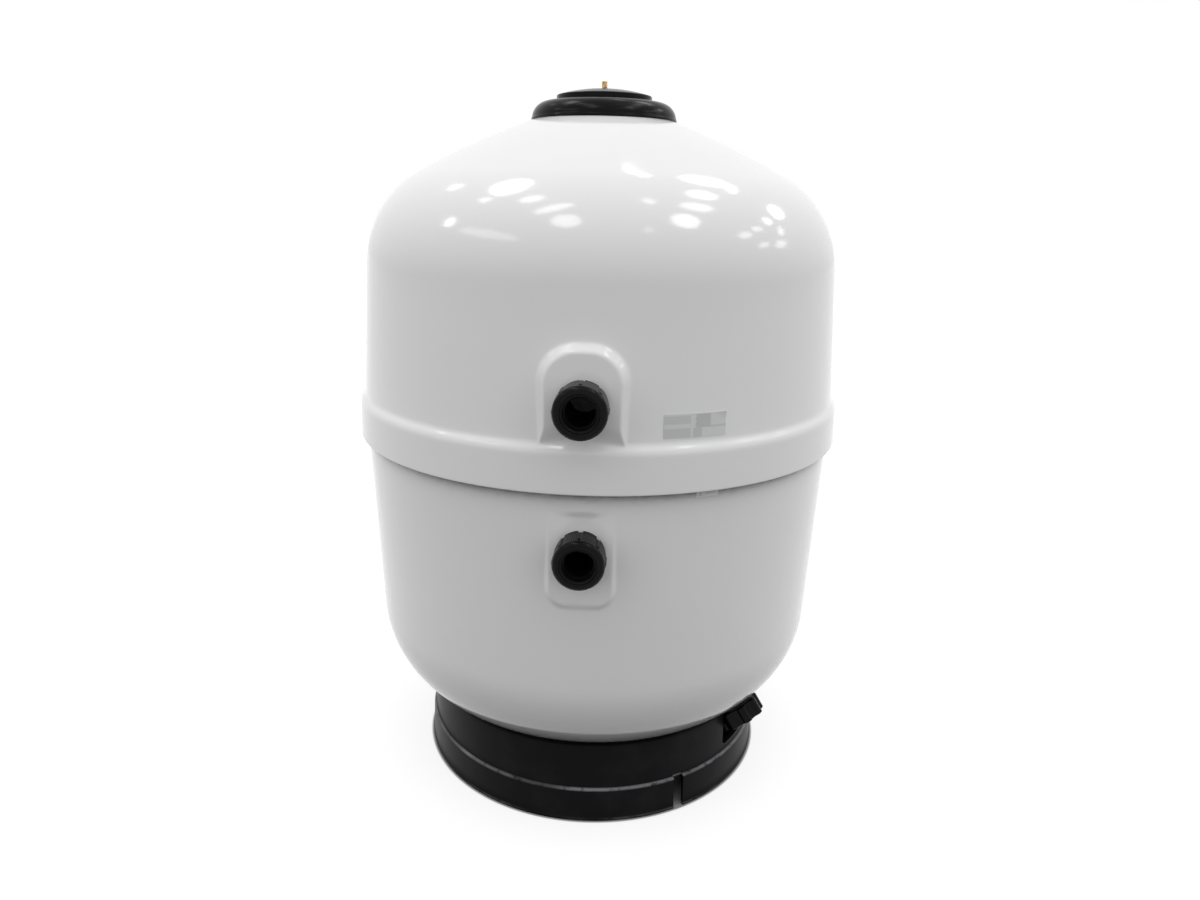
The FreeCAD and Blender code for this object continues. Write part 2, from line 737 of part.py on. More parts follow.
def neck_ring():
    """Threaded insert bonded into the crown, with a flange under it and a groove for the lid's seal."""
    under = "-shell_wall - bond_gap"
    return turned("neck_ring", [
        ("neck_bore", crown_height("neck_radius", under) + " - neck_flange_thickness"),
        ("neck_flange", crown_height("neck_flange", under) + " - neck_flange_thickness"),
        ("neck_flange", crown_height("neck_flange", under), f"crown_radius + {under}"),
        ("neck_radius", crown_height("neck_radius", under)),
        ("neck_radius", "neck_top"),
        ("seal_outer + seal_play", "neck_top"),
        ("seal_outer + seal_play", "neck_top - seal_groove"),
        ("seal_inner - seal_play", "neck_top - seal_groove"),
        ("seal_inner - seal_play", "neck_top"),
        ("neck_bore", "neck_top"),
    ])


def lid():
    """Lid: a flange under the collar's lip, a raised disc with a domed top, a spigot and a bleed boss."""
    boss_top = dome_height("lid_boss_radius") + " - lid_skin"
    skirt = "lid_spigot_radius - lid_skin"
    bush_hole = "bush_radius + bond_gap / 2"
    return turned("lid", [
        (bush_hole, "boss_bottom"),
        ("lid_boss_radius", "boss_bottom"),
        ("lid_boss_radius", boss_top),
        ("lid_radius - lid_skin", "lid_edge - lid_skin"),
        (skirt, "lid_bottom - lid_spigot_depth"),
        ("lid_spigot_radius", "lid_bottom - lid_spigot_depth"),
        ("lid_spigot_radius", "lid_bottom"),
        ("lid_flange_radius", "lid_bottom"),
        ("lid_flange_radius", "lid_flange_top"),
        ("lid_radius", "lid_flange_top"),
        ("lid_radius", "lid_edge - lid_edge_round", "lid_edge_round"),
        ("dome_edge", "lid_edge", "lid_dome_radius"),
        (bush_hole, dome_height(bush_hole)),
    ])


def lid_nut():
    """Screw collar: a skirt over the neck's thread, a round shoulder and a lip that holds the lid down."""
    return turned("lid_nut", [
        ("nut_bore", crown_height("nut_bore") + " + nut_shell_gap"),
        ("nut_radius", crown_height("nut_radius") + " + nut_shell_gap"),
        ("nut_radius - nut_skirt_lean", "nut_skirt_top", "nut_round"),
        ("nut_brow_radius", "nut_brow"),
        ("lid_radius + nut_disc_gap", "nut_crest"),
        ("lid_radius + nut_disc_gap", "nut_lip"),
        ("nut_bore", "nut_lip"),
    ])


def air_bleed():
    """Brass bush in the lid's boss, the stem that screws through it and the ring under the stem's head."""
    bush_top = dome_height("bush_radius") + " + bush_proud"
    bush = turned("bleed_bush", [
        ("stem_radius + stem_gap", "bush_bottom"),
        ("bush_flange", "bush_bottom"),
        ("bush_flange", "boss_bottom - bond_gap / 2"),
        ("bush_radius", "boss_bottom - bond_gap / 2"),
        ("bush_radius", bush_top),
        ("stem_radius + stem_gap", bush_top),
    ])
    stem = turned("bleed_screw", [
        ("0", "stem_head_top - stem_head_height"),
        ("stem_head_radius", "stem_head_top - stem_head_height"),
        ("stem_head_radius", "stem_head_top"),
        ("stem_radius", "stem_head_top"),
        ("stem_radius", "stem_top - stem_chamfer"),
        ("stem_radius - stem_chamfer", "stem_top"),
        ("0", "stem_top"),
    ])
    seal = ring("bleed_seal", "stem_radius + stem_gap", "stem_head_radius - stem_seal_inset",
                "stem_head_top + face_gap", "bush_bottom - face_gap")
    return bush, stem, seal


def port_fittings(side, face, height):
    """One port: flanged tail, inner gasket, lock nut, union end with its face ring and the ribbed nut."""
    place = port_place(face, height)
    bulkhead = turned(side + "_bulkhead", [
        ("pipe_bore", "flange_back - spigot_length"),
        ("pipe_radius", "flange_back - spigot_length"),
        ("pipe_radius", "flange_back"),
        ("flange_radius", "flange_back"),
        ("flange_radius", "flange_front"),
        ("tail_radius", "flange_front"),
        ("tail_radius", "tail_reach"),
        ("tail_bore", "tail_reach"),
        ("tail_bore", "flange_back + bore_step"),
        ("pipe_bore", "flange_back"),
    ], place)
    gasket = ring(side + "_gasket", "tail_hole", "flange_radius", "flange_front + bond_gap / 2",
                  "-port_seat_depth - bond_gap / 2", place)
    lock_nut = ring(side + "_lock_nut", "tail_hole", "lock_nut_radius", "bond_gap", "lock_nut_height",
                    place)
    notch = outline(sketch_on(lock_nut, "XY_Plane", side + "_lock_notch_profile"), [
        ("lock_nut_radius - lock_notch_depth", "-lock_notch_width / 2"),
        ("lock_nut_radius + overrun", "-lock_notch_width / 2"),
        ("lock_nut_radius + overrun", "lock_notch_width / 2"),
        ("lock_nut_radius - lock_notch_depth", "lock_notch_width / 2"),
    ])
    cut = extruded(lock_nut, "Pocket", side + "_lock_notch", notch, "lock_nut_height + overrun",
                   backwards=True)
    repeated_round(lock_nut, cut, side + "_lock_notches", "union_rib_count")
    groove_inner = "face_ring_inner - face_ring_play"
    groove_outer = "face_ring_outer + face_ring_play"
    groove_floor = "union_start + face_ring_height"
    union_end = turned(side + "_union_end", [
        ("pipe_bore", "union_start"),
        (groove_inner, "union_start"),
        (groove_inner, groove_floor),
        (groove_outer, groove_floor),
        (groove_outer, "union_start"),
        ("union_collar", "union_start"),
        ("union_collar", "collar_front"),
        ("union_end_radius", "collar_front"),
        ("union_end_radius", "union_end_front"),
        ("union_socket_radius + union_socket_lead", "union_end_front"),
        ("union_socket_radius", "union_end_front - union_socket_lead"),
        ("union_socket_radius", "union_end_front - union_socket_depth"),
        ("pipe_bore", "union_end_front - union_socket_depth"),
    ], place)
    face_ring = ring(side + "_union_seal", "face_ring_inner", "face_ring_outer",
                     "tail_reach + face_gap / 2", groove_floor + " - face_gap / 2", place)
    union_nut = turned(side + "_union_nut", [
        ("tail_hole", "union_nut_base"),
        ("union_nut_radius", "union_nut_base"),
        ("union_nut_radius", "union_nut_front - union_nut_shoulder", "union_nut_round"),
        ("union_nut_face", "union_nut_front"),
        ("union_nut_opening", "union_nut_front"),
        ("union_nut_opening", "union_nut_front - union_nut_lip"),
        ("tail_hole", "union_nut_front - union_nut_lip"),
    ], place)
    sketch = sketch_on(union_nut, "XY_Plane", side + "_rib_profile", "union_nut_base")
    centre = "union_nut_radius + union_rib_proud - union_rib_radius"
    sketch.addGeometry(Part.Circle(FreeCAD.Vector(number_of(centre), 0, 0), FreeCAD.Vector(0, 0, 1),
                                   number_of("union_rib_radius")), False)
    sketch.addConstraint([
        Sketcher.Constraint("DistanceX", -1, 1, 0, 3, number_of(centre)),
        Sketcher.Constraint("PointOnObject", 0, 3, -1),
        Sketcher.Constraint("Radius", 0, number_of("union_rib_radius")),
    ])
    sketch.setExpression("Constraints[0]", linked(centre))
    sketch.setExpression("Constraints[2]", linked("union_rib_radius"))
    rib = extruded(union_nut, "Pad", side + "_rib", sketch, "union_rib_length")
    repeated_round(union_nut, rib, side + "_ribs", "union_rib_count")
    return bulkhead, gasket, lock_nut, union_end, face_ring, union_nut


def elbow(name, place):
    """A right-angle bend, its centre at 0, with legs towards -Y and -X that end in sockets."""
    def bent(part, radius, leg_radius, leg_start, leg_end):
        bend = doc.addObject("Part::Torus", f"{name}_{part}_bend")
        bend.setExpression("Radius1", linked("elbow_bend"))
        bend.setExpression("Radius2", linked(radius))
        bend.Angle3 = 90
        bend.setExpression("Placement", linked(place))
        turns = {
            "first": "placement(vector(elbow_bend; 0; 0); rotation(vector(1; 0; 0); 90))",
            "second": "placement(vector(0; elbow_bend; 0); rotation(vector(0; 1; 0); -90))",
        }
        legs = []
        for leg, turn in turns.items():
            axis = f"{place} * {turn}"
            legs.append(cylinder(f"{name}_{part}_{leg}", leg_radius, leg_start, leg_end, axis))
            legs.append(cylinder(f"{name}_{part}_{leg}_bore", radius, "0", "elbow_leg", axis))
        return joined(f"{name}_{part}", bend, *legs)

    outside = bent("outside", "elbow_radius", "elbow_radius", "0", "elbow_leg")
    inside = bent("inside", "pipe_bore", "pipe_socket", "elbow_leg - socket_depth", "elbow_leg + overrun")
    return without(name, outside, inside)


def pipe(name, bottom, top, place):
    """A plain pipe between two heights on the axis of a placement."""
    return ring(name, "pipe_bore", "pipe_radius", bottom, top, place)


def inlet_pipework():
    """Elbow on the upper tail, riser and the mushroom diffuser that spreads raw water over the bed."""
    bend = elbow("inlet_elbow", "placement(vector(0; upper_elbow_centre; upper_port_height + elbow_bend); "
                                "rotation(vector(0; 1; 0); 90))")
    axis = "placement(vector(0; inlet_riser_place; 0); rotation(0; 0; 0))"
    leg_top = "upper_port_height + elbow_bend + elbow_leg"
    riser = pipe("inlet_riser", f"{leg_top} - socket_depth + end_gap", "inlet_riser_top", axis)
    brim = "inlet_riser_top + diffuser_rise - diffuser_brim"
    diffuser = turned("inlet_diffuser", [
        ("pipe_socket", "inlet_riser_top - socket_depth"),
        ("elbow_radius", "inlet_riser_top - socket_depth"),
        ("elbow_radius", "inlet_riser_top + diffuser_rise - diffuser_wall"),
        ("diffuser_radius - diffuser_wall", brim),
        ("diffuser_radius", brim),
        ("diffuser_radius - diffuser_wall", "inlet_riser_top + diffuser_rise"),
        ("0", "inlet_riser_top + diffuser_rise"),
        ("0", "inlet_riser_top + diffuser_rise - diffuser_wall"),
        ("pipe_bore", "inlet_riser_top + diffuser_rise - diffuser_wall"),
        ("pipe_bore", "inlet_riser_top + end_gap"),
        ("pipe_socket", "inlet_riser_top + end_gap"),
    ], axis)
    window = outline(sketch_on(diffuser, "YZ_Plane", "window_profile"), [
        ("-window_width / 2", "inlet_riser_top + window_sill"),
        ("window_width / 2", "inlet_riser_top + window_sill"),
        ("window_width / 2", "inlet_riser_top + window_sill + window_height"),
        ("-window_width / 2", "inlet_riser_top + window_sill + window_height"),
    ])
    cut = extruded(diffuser, "Pocket", "window", window, "elbow_radius + overrun", backwards=True)
    repeated_round(diffuser, cut, "windows", "window_count")
    return bend, riser, diffuser


def outlet_pipework():
    """Pipe from the lower tail to the vessel's axis, elbow and riser down to the collector."""
    place = port_place("lower_pad_face", "lower_port_height")
    leg_mouth = "-(lower_pad_face - elbow_bend - elbow_leg)"
    run = turned("outlet_pipe", [
        ("pipe_bore", f"{leg_mouth} - socket_depth + end_gap"),
        ("pipe_radius", f"{leg_mouth} - socket_depth + end_gap"),
        ("pipe_radius", "elbow_mouth - elbow_leg - coupler_taper"),
        ("elbow_radius", "elbow_mouth - elbow_leg"),
        ("elbow_radius", "elbow_mouth"),
        ("pipe_socket", "elbow_mouth"),
        ("pipe_socket", "elbow_mouth - socket_depth"),
        ("pipe_bore", "elbow_mouth - socket_depth"),
    ], place)
    bend = elbow("outlet_elbow", "placement(vector(0; -elbow_bend; lower_port_height - elbow_bend); "
                                 "rotation(vector(0; 1; 0); -90))")
    leg_bottom = "lower_port_height - elbow_bend - elbow_leg"
    riser = pipe("outlet_riser", "hub_bottom + hub_height - socket_depth + end_gap",
                 f"{leg_bottom} + socket_depth - end_gap", ON_THE_FLOOR)
    return run, bend, riser


def collector():
    """Hub at the bottom of the riser and the slotted arms around it."""
    middle = "hub_bottom + hub_height / 2"
    blank = turned("hub_blank", [
        ("0", "hub_bottom"),
        ("hub_radius", "hub_bottom"),
        ("hub_radius", "hub_bottom + hub_height - hub_shoulder", "hub_round"),
        ("hub_radius - hub_shoulder", "hub_bottom + hub_height"),
        ("pipe_socket", "hub_bottom + hub_height"),
        ("pipe_socket", "hub_bottom + hub_height - socket_depth"),
        ("pipe_bore", "hub_bottom + hub_height - socket_depth"),
        ("pipe_bore", "hub_bottom + hub_floor"),
        ("0", "hub_bottom + hub_floor"),
    ])
    tools = []
    laterals = []
    count = int(number_of("lateral_count"))
    for index in range(count):
        turn = f"lateral_turn + {index} * 360 / lateral_count"
        place = f"placement(vector(0; 0; {middle}); rotation({turn}; -90; 0))"
        socket_floor = "hub_radius - lateral_socket"
        tools.append(cylinder(f"hub_socket_{index + 1}", "lateral_radius + socket_gap", socket_floor,
                              "hub_radius + overrun", place))
        tools.append(cylinder(f"hub_passage_{index + 1}", "lateral_passage", "pipe_bore / 2",
                              f"{socket_floor} + overrun", place))
        arm = turned(f"lateral_{index + 1}", [
            ("lateral_radius - lateral_wall", f"{socket_floor} + end_gap"),
            ("lateral_radius", f"{socket_floor} + end_gap"),
            ("lateral_radius", "lateral_tip - lateral_wall"),
            ("lateral_radius - lateral_wall", "lateral_tip"),
            ("0", "lateral_tip"),
            ("0", "lateral_tip - lateral_wall"),
            ("lateral_radius - lateral_wall", "lateral_tip - lateral_wall"),
        ], place)
        first = "hub_radius + lateral_slot_start"
        slot = outline(sketch_on(arm, "XZ_Plane", f"slot_profile_{index + 1}"), [
            ("-lateral_radius - overrun", first),
            ("-lateral_radius + lateral_slot_cut", first),
            ("-lateral_radius + lateral_slot_cut", f"{first} + lateral_slot"),
            ("-lateral_radius - overrun", f"{first} + lateral_slot"),
        ])
        cut = extruded(arm, "Pocket", f"slot_{index + 1}", slot, "3 * lateral_radius", both_ways=True)
        row = arm.newObject("PartDesign::LinearPattern", f"slots_{index + 1}")
        row.Originals = [cut]
        row.Direction = (origin_plane(arm, "Z_Axis"), [""])
        row.setExpression("Length", linked("lateral_slot_run"))
        row.setExpression("Occurrences", linked("lateral_slot_count"))
        arm.Tip = row
        doc.recompute()
        laterals.append(arm)
    return without("collector_hub", blank, joined("hub_openings", *tools)), laterals


def drain():
    """Flanged drain tail with its gasket, lock nut, inner strainer, lobed cap and the cap's ring."""
    body = turned("drain_body", [
        ("drain_bore", "drain_flange_back - drain_spigot_length"),
        ("drain_spigot_radius", "drain_flange_back - drain_spigot_length"),
        ("drain_spigot_radius", "drain_flange_back"),
        ("drain_flange_radius", "drain_flange_back"),
        ("drain_flange_radius", "drain_flange_front"),
        ("drain_tail_radius", "drain_flange_front"),
        ("drain_tail_radius", "drain_tail_reach"),
        ("drain_bore", "drain_tail_reach"),
    ], DRAIN_PLACE)
    hole = "drain_tail_radius + tail_gap"
    gasket = ring("drain_gasket", hole, "drain_flange_radius", "drain_flange_front + bond_gap / 2",
                  "-drain_seat_depth - bond_gap / 2", DRAIN_PLACE)
    lock_nut = ring("drain_lock_nut", hole, "drain_nut_radius", "bond_gap", "drain_nut_height", DRAIN_PLACE)
    seal = ring("drain_cap_seal", "drain_bore + cap_seal_inset", "drain_tail_radius - cap_seal_inset",
                "drain_tail_reach + face_gap", "cap_floor - face_gap", DRAIN_PLACE)
    cap = turned("drain_cap", [
        (hole, "cap_start"),
        ("cap_core_radius", "cap_start"),
        ("cap_core_radius", "cap_end - cap_edge"),
        ("cap_core_radius - cap_edge", "cap_end"),
        ("cap_recess_radius", "cap_end"),
        ("cap_recess_radius - cap_edge", "cap_end - cap_recess_depth"),
        ("0", "cap_end - cap_recess_depth"),
        ("0", "cap_floor"),
        (hole, "cap_floor"),
    ], DRAIN_PLACE)
    sketch = sketch_on(cap, "XY_Plane", "lobe_profile", "cap_start")
    centre = "cap_core_radius + cap_lobe_proud - cap_lobe_radius"
    sketch.addGeometry(Part.Circle(FreeCAD.Vector(number_of(centre), 0, 0), FreeCAD.Vector(0, 0, 1),
                                   number_of("cap_lobe_radius")), False)
    sketch.addConstraint([
        Sketcher.Constraint("DistanceX", -1, 1, 0, 3, number_of(centre)),
        Sketcher.Constraint("PointOnObject", 0, 3, -1),
        Sketcher.Constraint("Radius", 0, number_of("cap_lobe_radius")),
    ])
    sketch.setExpression("Constraints[0]", linked(centre))
    sketch.setExpression("Constraints[2]", linked("cap_lobe_radius"))
    lobe = extruded(cap, "Pad", "lobe", sketch, "cap_end - cap_start - cap_edge")
    repeated_round(cap, lobe, "lobes", "cap_lobe_count")
    strainer_bottom = "strainer_mouth - strainer_length"
    strainer = turned("drain_strainer", [
        ("0", strainer_bottom),
        ("strainer_radius - strainer_edge", strainer_bottom),
        ("strainer_radius", f"{strainer_bottom} + strainer_edge"),
        ("strainer_radius", "strainer_mouth"),
        ("drain_spigot_radius + socket_gap", "strainer_mouth"),
        ("drain_spigot_radius + socket_gap", f"{strainer_bottom} + strainer_floor"),
        ("0", f"{strainer_bottom} + strainer_floor"),
    ], DRAIN_PLACE)
    window = outline(sketch_on(strainer, "YZ_Plane", "strainer_window_profile"), [
        ("-strainer_window / 2", f"{strainer_bottom} + strainer_sill"),
        ("strainer_window / 2", f"{strainer_bottom} + strainer_sill"),
        ("strainer_window / 2", f"{strainer_bottom} + strainer_sill + strainer_window_length"),
        ("-strainer_window / 2", f"{strainer_bottom} + strainer_sill + strainer_window_length"),
    ])
    cut = extruded(strainer, "Pocket", "strainer_window_cut", window,
                   "strainer_radius + overrun", backwards=True)
    repeated_round(strainer, cut, "strainer_windows", "strainer_window_count")
    return body, gasket, lock_nut, strainer, cap, seal


keep(upper_shell(), lower_shell(), bond_seam(), base_ring())
seal_floor = "neck_top - seal_groove + face_gap / 2"
keep(neck_ring(), ring("lid_seal", "seal_inner", "seal_outer", seal_floor, "seal_top"))
keep(lid(), lid_nut(), *air_bleed())
keep(*port_fittings("upper", "upper_pad_face", "upper_port_height"))
keep(*port_fittings("lower", "lower_pad_face", "lower_port_height"))
keep(*inlet_pipework(), *outlet_pipework())
hub, arms = collector()
keep(hub, *arms, *drain())
doc.recompute()

for item in doc.Objects:
    if "Invalid" in item.State or "Error" in item.State:
        raise ValueError(f"{item.Name} failed: {item.State}")
os.makedirs("parts", exist_ok=True)
for piece in PARTS:
    shape = piece.Shape
    if shape.isNull() or not shape.isValid() or len(shape.Solids) != 1:
        raise ValueError(f"{piece.Label} isn't one sound solid")
for piece in PARTS:
    piece.Shape.exportStep(f"parts/{piece.Label}.step")
    box = piece.Shape.BoundBox
    print(f"{piece.Label}: {piece.Shape.Volume / 1000:.1f} cm3, x {box.XMin:.1f} {box.XMax:.1f}, "
          f"y {box.YMin:.1f} {box.YMax:.1f}, z {box.ZMin:.1f} {box.ZMax:.1f}")
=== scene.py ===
import logging
import math
from dataclasses import dataclass
from enum import Enum

import bmesh
import bpy
import numpy as np
from mathutils import Matrix, Vector


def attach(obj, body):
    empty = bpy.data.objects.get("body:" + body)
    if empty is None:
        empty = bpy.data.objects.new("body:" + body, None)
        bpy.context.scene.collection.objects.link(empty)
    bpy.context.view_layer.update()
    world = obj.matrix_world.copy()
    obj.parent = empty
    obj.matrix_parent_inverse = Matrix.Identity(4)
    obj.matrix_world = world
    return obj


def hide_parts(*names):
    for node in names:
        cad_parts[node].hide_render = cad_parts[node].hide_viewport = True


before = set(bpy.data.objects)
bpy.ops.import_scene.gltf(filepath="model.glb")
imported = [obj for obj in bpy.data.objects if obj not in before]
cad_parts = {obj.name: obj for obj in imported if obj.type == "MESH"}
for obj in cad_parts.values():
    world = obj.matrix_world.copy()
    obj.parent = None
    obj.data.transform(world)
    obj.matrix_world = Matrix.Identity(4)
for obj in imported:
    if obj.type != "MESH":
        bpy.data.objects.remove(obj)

LOG = logging.getLogger("sand_filter")
MM = 0.001
FULL_TURN = 2 * math.pi
# Edges that turn by more degrees than this are sharp
SHARP = 38.0
# Distances in metres under which points merge and faces are dropped
WELD = 1e-6
SLIVER = 1e-7
CHAMFER = 0.8
THREAD_STEP = 0.6
PIPE_PITCH = 3.5
NECK_PITCH = 5.0
# Cosine of the azimuth past which a boss can show, and the least one that is divided by
FRONT_COSINE = 0.9
LEAST_COSINE = 0.5
Step = tuple[float, ...]
Triple = tuple[float, float, float]
Colour = Triple


# Surfaces worked out as arrays. Sizes are in millimetres until a mesh is made.

def arc(start: Step, end: Step, radius: float, count: int) -> np.ndarray:
    """Samples a short arc between two points of a profile.

    The centre lies on the chord's perpendicular through its middle, at sqrt(radius^2 - half chord^2).

    Args:
        start: First point, as radius from the axis and height.
        end: Last point.
        radius: Positive turns left on the way, negative turns right.
        count: Number of points, both ends included.

    Returns:
        An array of (count, 2) points.
    """
    first = np.array(start[:2], float)
    last = np.array(end[:2], float)
    chord = last - first
    length = float(np.hypot(*chord))
    reach = math.sqrt(max(radius * radius - length * length / 4, 0.0))
    side = np.array([-chord[1], chord[0]]) / length * math.copysign(1.0, radius)
    centre = (first + last) / 2 + side * reach
    begin = math.atan2(*(first - centre)[::-1])
    turn = math.atan2(*(last - centre)[::-1]) - begin
    turn = (turn + math.pi) % FULL_TURN - math.pi
    angles = begin + np.linspace(0.0, turn, count)
    return centre + abs(radius) * np.stack([np.cos(angles), np.sin(angles)], axis=-1)


def profile(steps: list[Step], spacing: float = 4.0) -> np.ndarray:
    """Samples a profile of lines and arcs.

    Each step is (radius from the axis, height), or has the radius of the arc that follows as a third
    number. A straight run isn't divided; an arc gets a point about every spacing.

    Args:
        steps: The corners in order.
        spacing: Distance between points on an arc.

    Returns:
        An array of (points, 2), ending at the last corner.
    """
    rows = []
    for step, following in zip(steps, steps[1:]):
        if len(step) > 2:
            length = math.dist(step[:2], following[:2])
            rows.append(arc(step, following, step[2], max(int(length / spacing), 4) + 1)[:-1])
        else:
            rows.append(np.array([step[:2]], float))
    rows.append(np.array([steps[-1][:2]], float))
    return np.vstack(rows)


def divided(points: np.ndarray, spacing: float) -> np.ndarray:
    """Divides the runs of a profile so that no two neighbours lie further apart than the spacing.

    Each run is divided evenly by linear interpolation along its length.

    Args:
        points: The profile.
        spacing: Largest distance between neighbours.

    Returns:
        The finer profile.
    """
    lengths = np.hypot(*np.diff(points, axis=0).T)
    stops = np.concatenate([[0.0], np.cumsum(lengths)])
    counts = np.maximum(np.ceil(lengths / spacing).astype(int), 1)
    wanted = np.concatenate([np.linspace(a, b, n, endpoint=False)
                             for a, b, n in zip(stops, stops[1:], counts)] + [stops[-1:]])
    return np.stack([np.interp(wanted, stops, points[:, 0]), np.interp(wanted, stops, points[:, 1])], axis=-1)


def azimuths(zones: list[tuple[float, float, float]], coarse: float) -> np.ndarray:
    """Gives the directions of a turned surface's columns, closer together where there is detail.

    Args:
        zones: Each (middle, half width, step) in degrees.
        coarse: Step outside the zones, in degrees.

    Returns:
        Sorted azimuths in radians over one turn, counted from -Y towards +X.
    """
    plain = np.arange(-180.0, 180.0, coarse)
    parts = []
    for middle, half, step in zones:
        plain = plain[np.abs(plain - middle) > half + coarse / 2]
        parts.append(middle + np.linspace(-half, half, int(round(2 * half / step)) + 1))
    return np.radians(np.sort(np.concatenate([plain, *parts])))


def spun(radius: np.ndarray, azimuth: np.ndarray, height: np.ndarray) -> np.ndarray:
    """Gives the points (r sin a, -r cos a, z) for radii r, azimuths a and heights z."""
    across, along, height = np.broadcast_arrays(radius * np.sin(azimuth), -radius * np.cos(azimuth), height)
    return np.stack([across, along, height], axis=-1)


def turned(points: np.ndarray, columns: np.ndarray) -> np.ndarray:
    """Carries a profile round the vertical axis.

    Args:
        points: Profile of (radius, height).
        columns: Azimuths in radians.

    Returns:
        A grid of (profile points, columns, 3).
    """
    return spun(points[:, :1], columns, points[:, 1:])


def soft_max(first: np.ndarray, second: np.ndarray, blend: float) -> np.ndarray:
    """The larger of two fields, with a fillet where they cross.

    It is max(a, b) + h^2 blend / 4 with h = max(blend - |a - b|, 0) / blend.

    Args:
        first: One field.
        second: The other field.
        blend: Width of the fillet.

    Returns:
        The blended field.
    """
    near = np.maximum(blend - np.abs(first - second), 0.0) / blend
    return np.maximum(first, second) + near * near * blend / 4


def soft_ramp(distance: np.ndarray, half: float) -> np.ndarray:
    """A ramp that is 0 below -half and equal to the distance above half, with a parabola between."""
    middle = (distance + half) ** 2 / (4 * half)
    return np.where(distance < -half, 0.0, np.where(distance > half, distance, middle))


def smooth_step(value: np.ndarray, low: float, high: float) -> np.ndarray:
    """A step from 0 at low to 1 at high along the cubic 3t^2 - 2t^3."""
    share = np.clip((value - low) / (high - low), 0.0, 1.0)
    return share * share * (3 - 2 * share)


@dataclass(frozen=True)
class Place:
    """An axis that a fitting is drawn on: height 0 on its seat, heights counted outwards."""

    seat: Triple
    axis: Triple

    def matrix(self) -> np.ndarray:
        """Rotation whose third column is the axis and whose first column is level."""
        up = np.array(self.axis, float)
        level = np.cross([0.0, 0.0, 1.0], up)
        level = level / np.linalg.norm(level) if np.linalg.norm(level) > 1e-6 else np.array([1.0, 0.0, 0.0])
        return np.stack([level, np.cross(up, level), up], axis=-1)

    def put(self, grid: np.ndarray) -> np.ndarray:
        """Moves a grid from the fitting's own axes to the filter's.

        Args:
            grid: Points about the vertical axis.

        Returns:
            The points in place.
        """
        return grid @ self.matrix().T + np.array(self.seat, float)


def linked(name: str, data: bpy.types.ID) -> bpy.types.Object:
    """Makes an object of its data and puts it into the scene."""
    made = bpy.data.objects.new(name, data)
    bpy.context.scene.collection.objects.link(made)
    return made


def vertex_rows(piece: bpy.types.Object, key: str) -> np.ndarray:
    """Gives "co" or "normal" of every vertex as rows of three."""
    found = np.empty(len(piece.data.vertices) * 3)
    piece.data.vertices.foreach_get(key, found)
    return found.reshape(-1, 3)


def write_values(piece: bpy.types.Object, name: str, values: np.ndarray) -> None:
    """Writes a number for every vertex as an attribute that a finish reads."""
    layer = piece.data.attributes.new(name, "FLOAT", "POINT")
    layer.data.foreach_set("value", values)


def mesh_piece(name: str, grid: np.ndarray, close_rows: bool = True,
               sharp: float = SHARP) -> bpy.types.Object:
    """Makes an object from a grid of points in millimetres whose columns close on themselves.

    Rows that shrink to a point are merged into a pole, and normals are turned outwards.

    Args:
        name: Name of the piece.
        grid: Points of (rows, columns, 3).
        close_rows: Whether the last row joins the first.
        sharp: Edges that turn by more than this many degrees stay sharp.

    Returns:
        The object, with its place in its mesh.
    """
    rows, columns = grid.shape[:2]
    index = np.arange(rows * columns).reshape(rows, columns)
    if close_rows:
        index = np.vstack([index, index[:1]])
    index = np.hstack([index, index[:, :1]])
    quads = np.stack([index[:-1, :-1], index[:-1, 1:], index[1:, 1:], index[1:, :-1]], axis=-1).reshape(-1, 4)
    mesh = bpy.data.meshes.new(name)
    mesh.from_pydata((grid.reshape(-1, 3) * MM).tolist(), [], quads.tolist())
    shell = bmesh.new()
    shell.from_mesh(mesh)
    bmesh.ops.remove_doubles(shell, verts=shell.verts, dist=WELD)
    bmesh.ops.dissolve_degenerate(shell, edges=shell.edges, dist=SLIVER)
    bmesh.ops.recalc_face_normals(shell, faces=shell.faces)
    shell.to_mesh(mesh)
    shell.free()
    mesh.shade_smooth()
    mesh.set_sharp_from_angle(angle=math.radians(sharp))
    return linked(name, mesh)


def cut_by(piece: bpy.types.Object, cutters: list[bpy.types.Object]) -> bpy.types.Object:
    """Cuts other solids out of a piece and removes them.

    Args:
        piece: The object that stays.
        cutters: Closed solids.

    Returns:
        The same object, with the cuts in its mesh.
    """
    for cutter in cutters:
        modifier = piece.modifiers.new("cut", "BOOLEAN")
        modifier.operation = "DIFFERENCE"
        modifier.solver = "EXACT"
        modifier.object = cutter
    bpy.context.view_layer.update()
    graph = bpy.context.evaluated_depsgraph_get()
    finished = bpy.data.meshes.new_from_object(piece.evaluated_get(graph))
    piece.modifiers.clear()
    piece.data = finished
    finished.set_sharp_from_angle(angle=math.radians(SHARP))
    for cutter in cutters:
        bpy.data.objects.remove(cutter)
    return piece


def prism(name: str, outline: np.ndarray, place: Place, bottom: float, top: float) -> bpy.types.Object:
    """A closed straight-sided solid.

    The outline is carried from one height to the other, and each end closes on the outline's middle.

    Args:
        name: Name of the piece.
        outline: Points of (x, y) in order, seen against the axis.
        place: Its axis.
        bottom: Height of its start.
        top: Height of its end.

    Returns:
        The prism.
    """
    middle = np.broadcast_to(outline.mean(axis=0), outline.shape)
    rows = [np.column_stack([flat, np.full(len(flat), height)])
            for flat, height in ((middle, bottom), (outline, bottom), (outline, top), (middle, top))]
    return mesh_piece(name, place.put(np.stack(rows)), close_rows=False)


def round_outline(radius: float, count: int = 120) -> np.ndarray:
    """Points on a circle."""
    turn = np.linspace(0.0, FULL_TURN, count, endpoint=False)
    return radius * np.stack([np.cos(turn), np.sin(turn)], axis=-1)


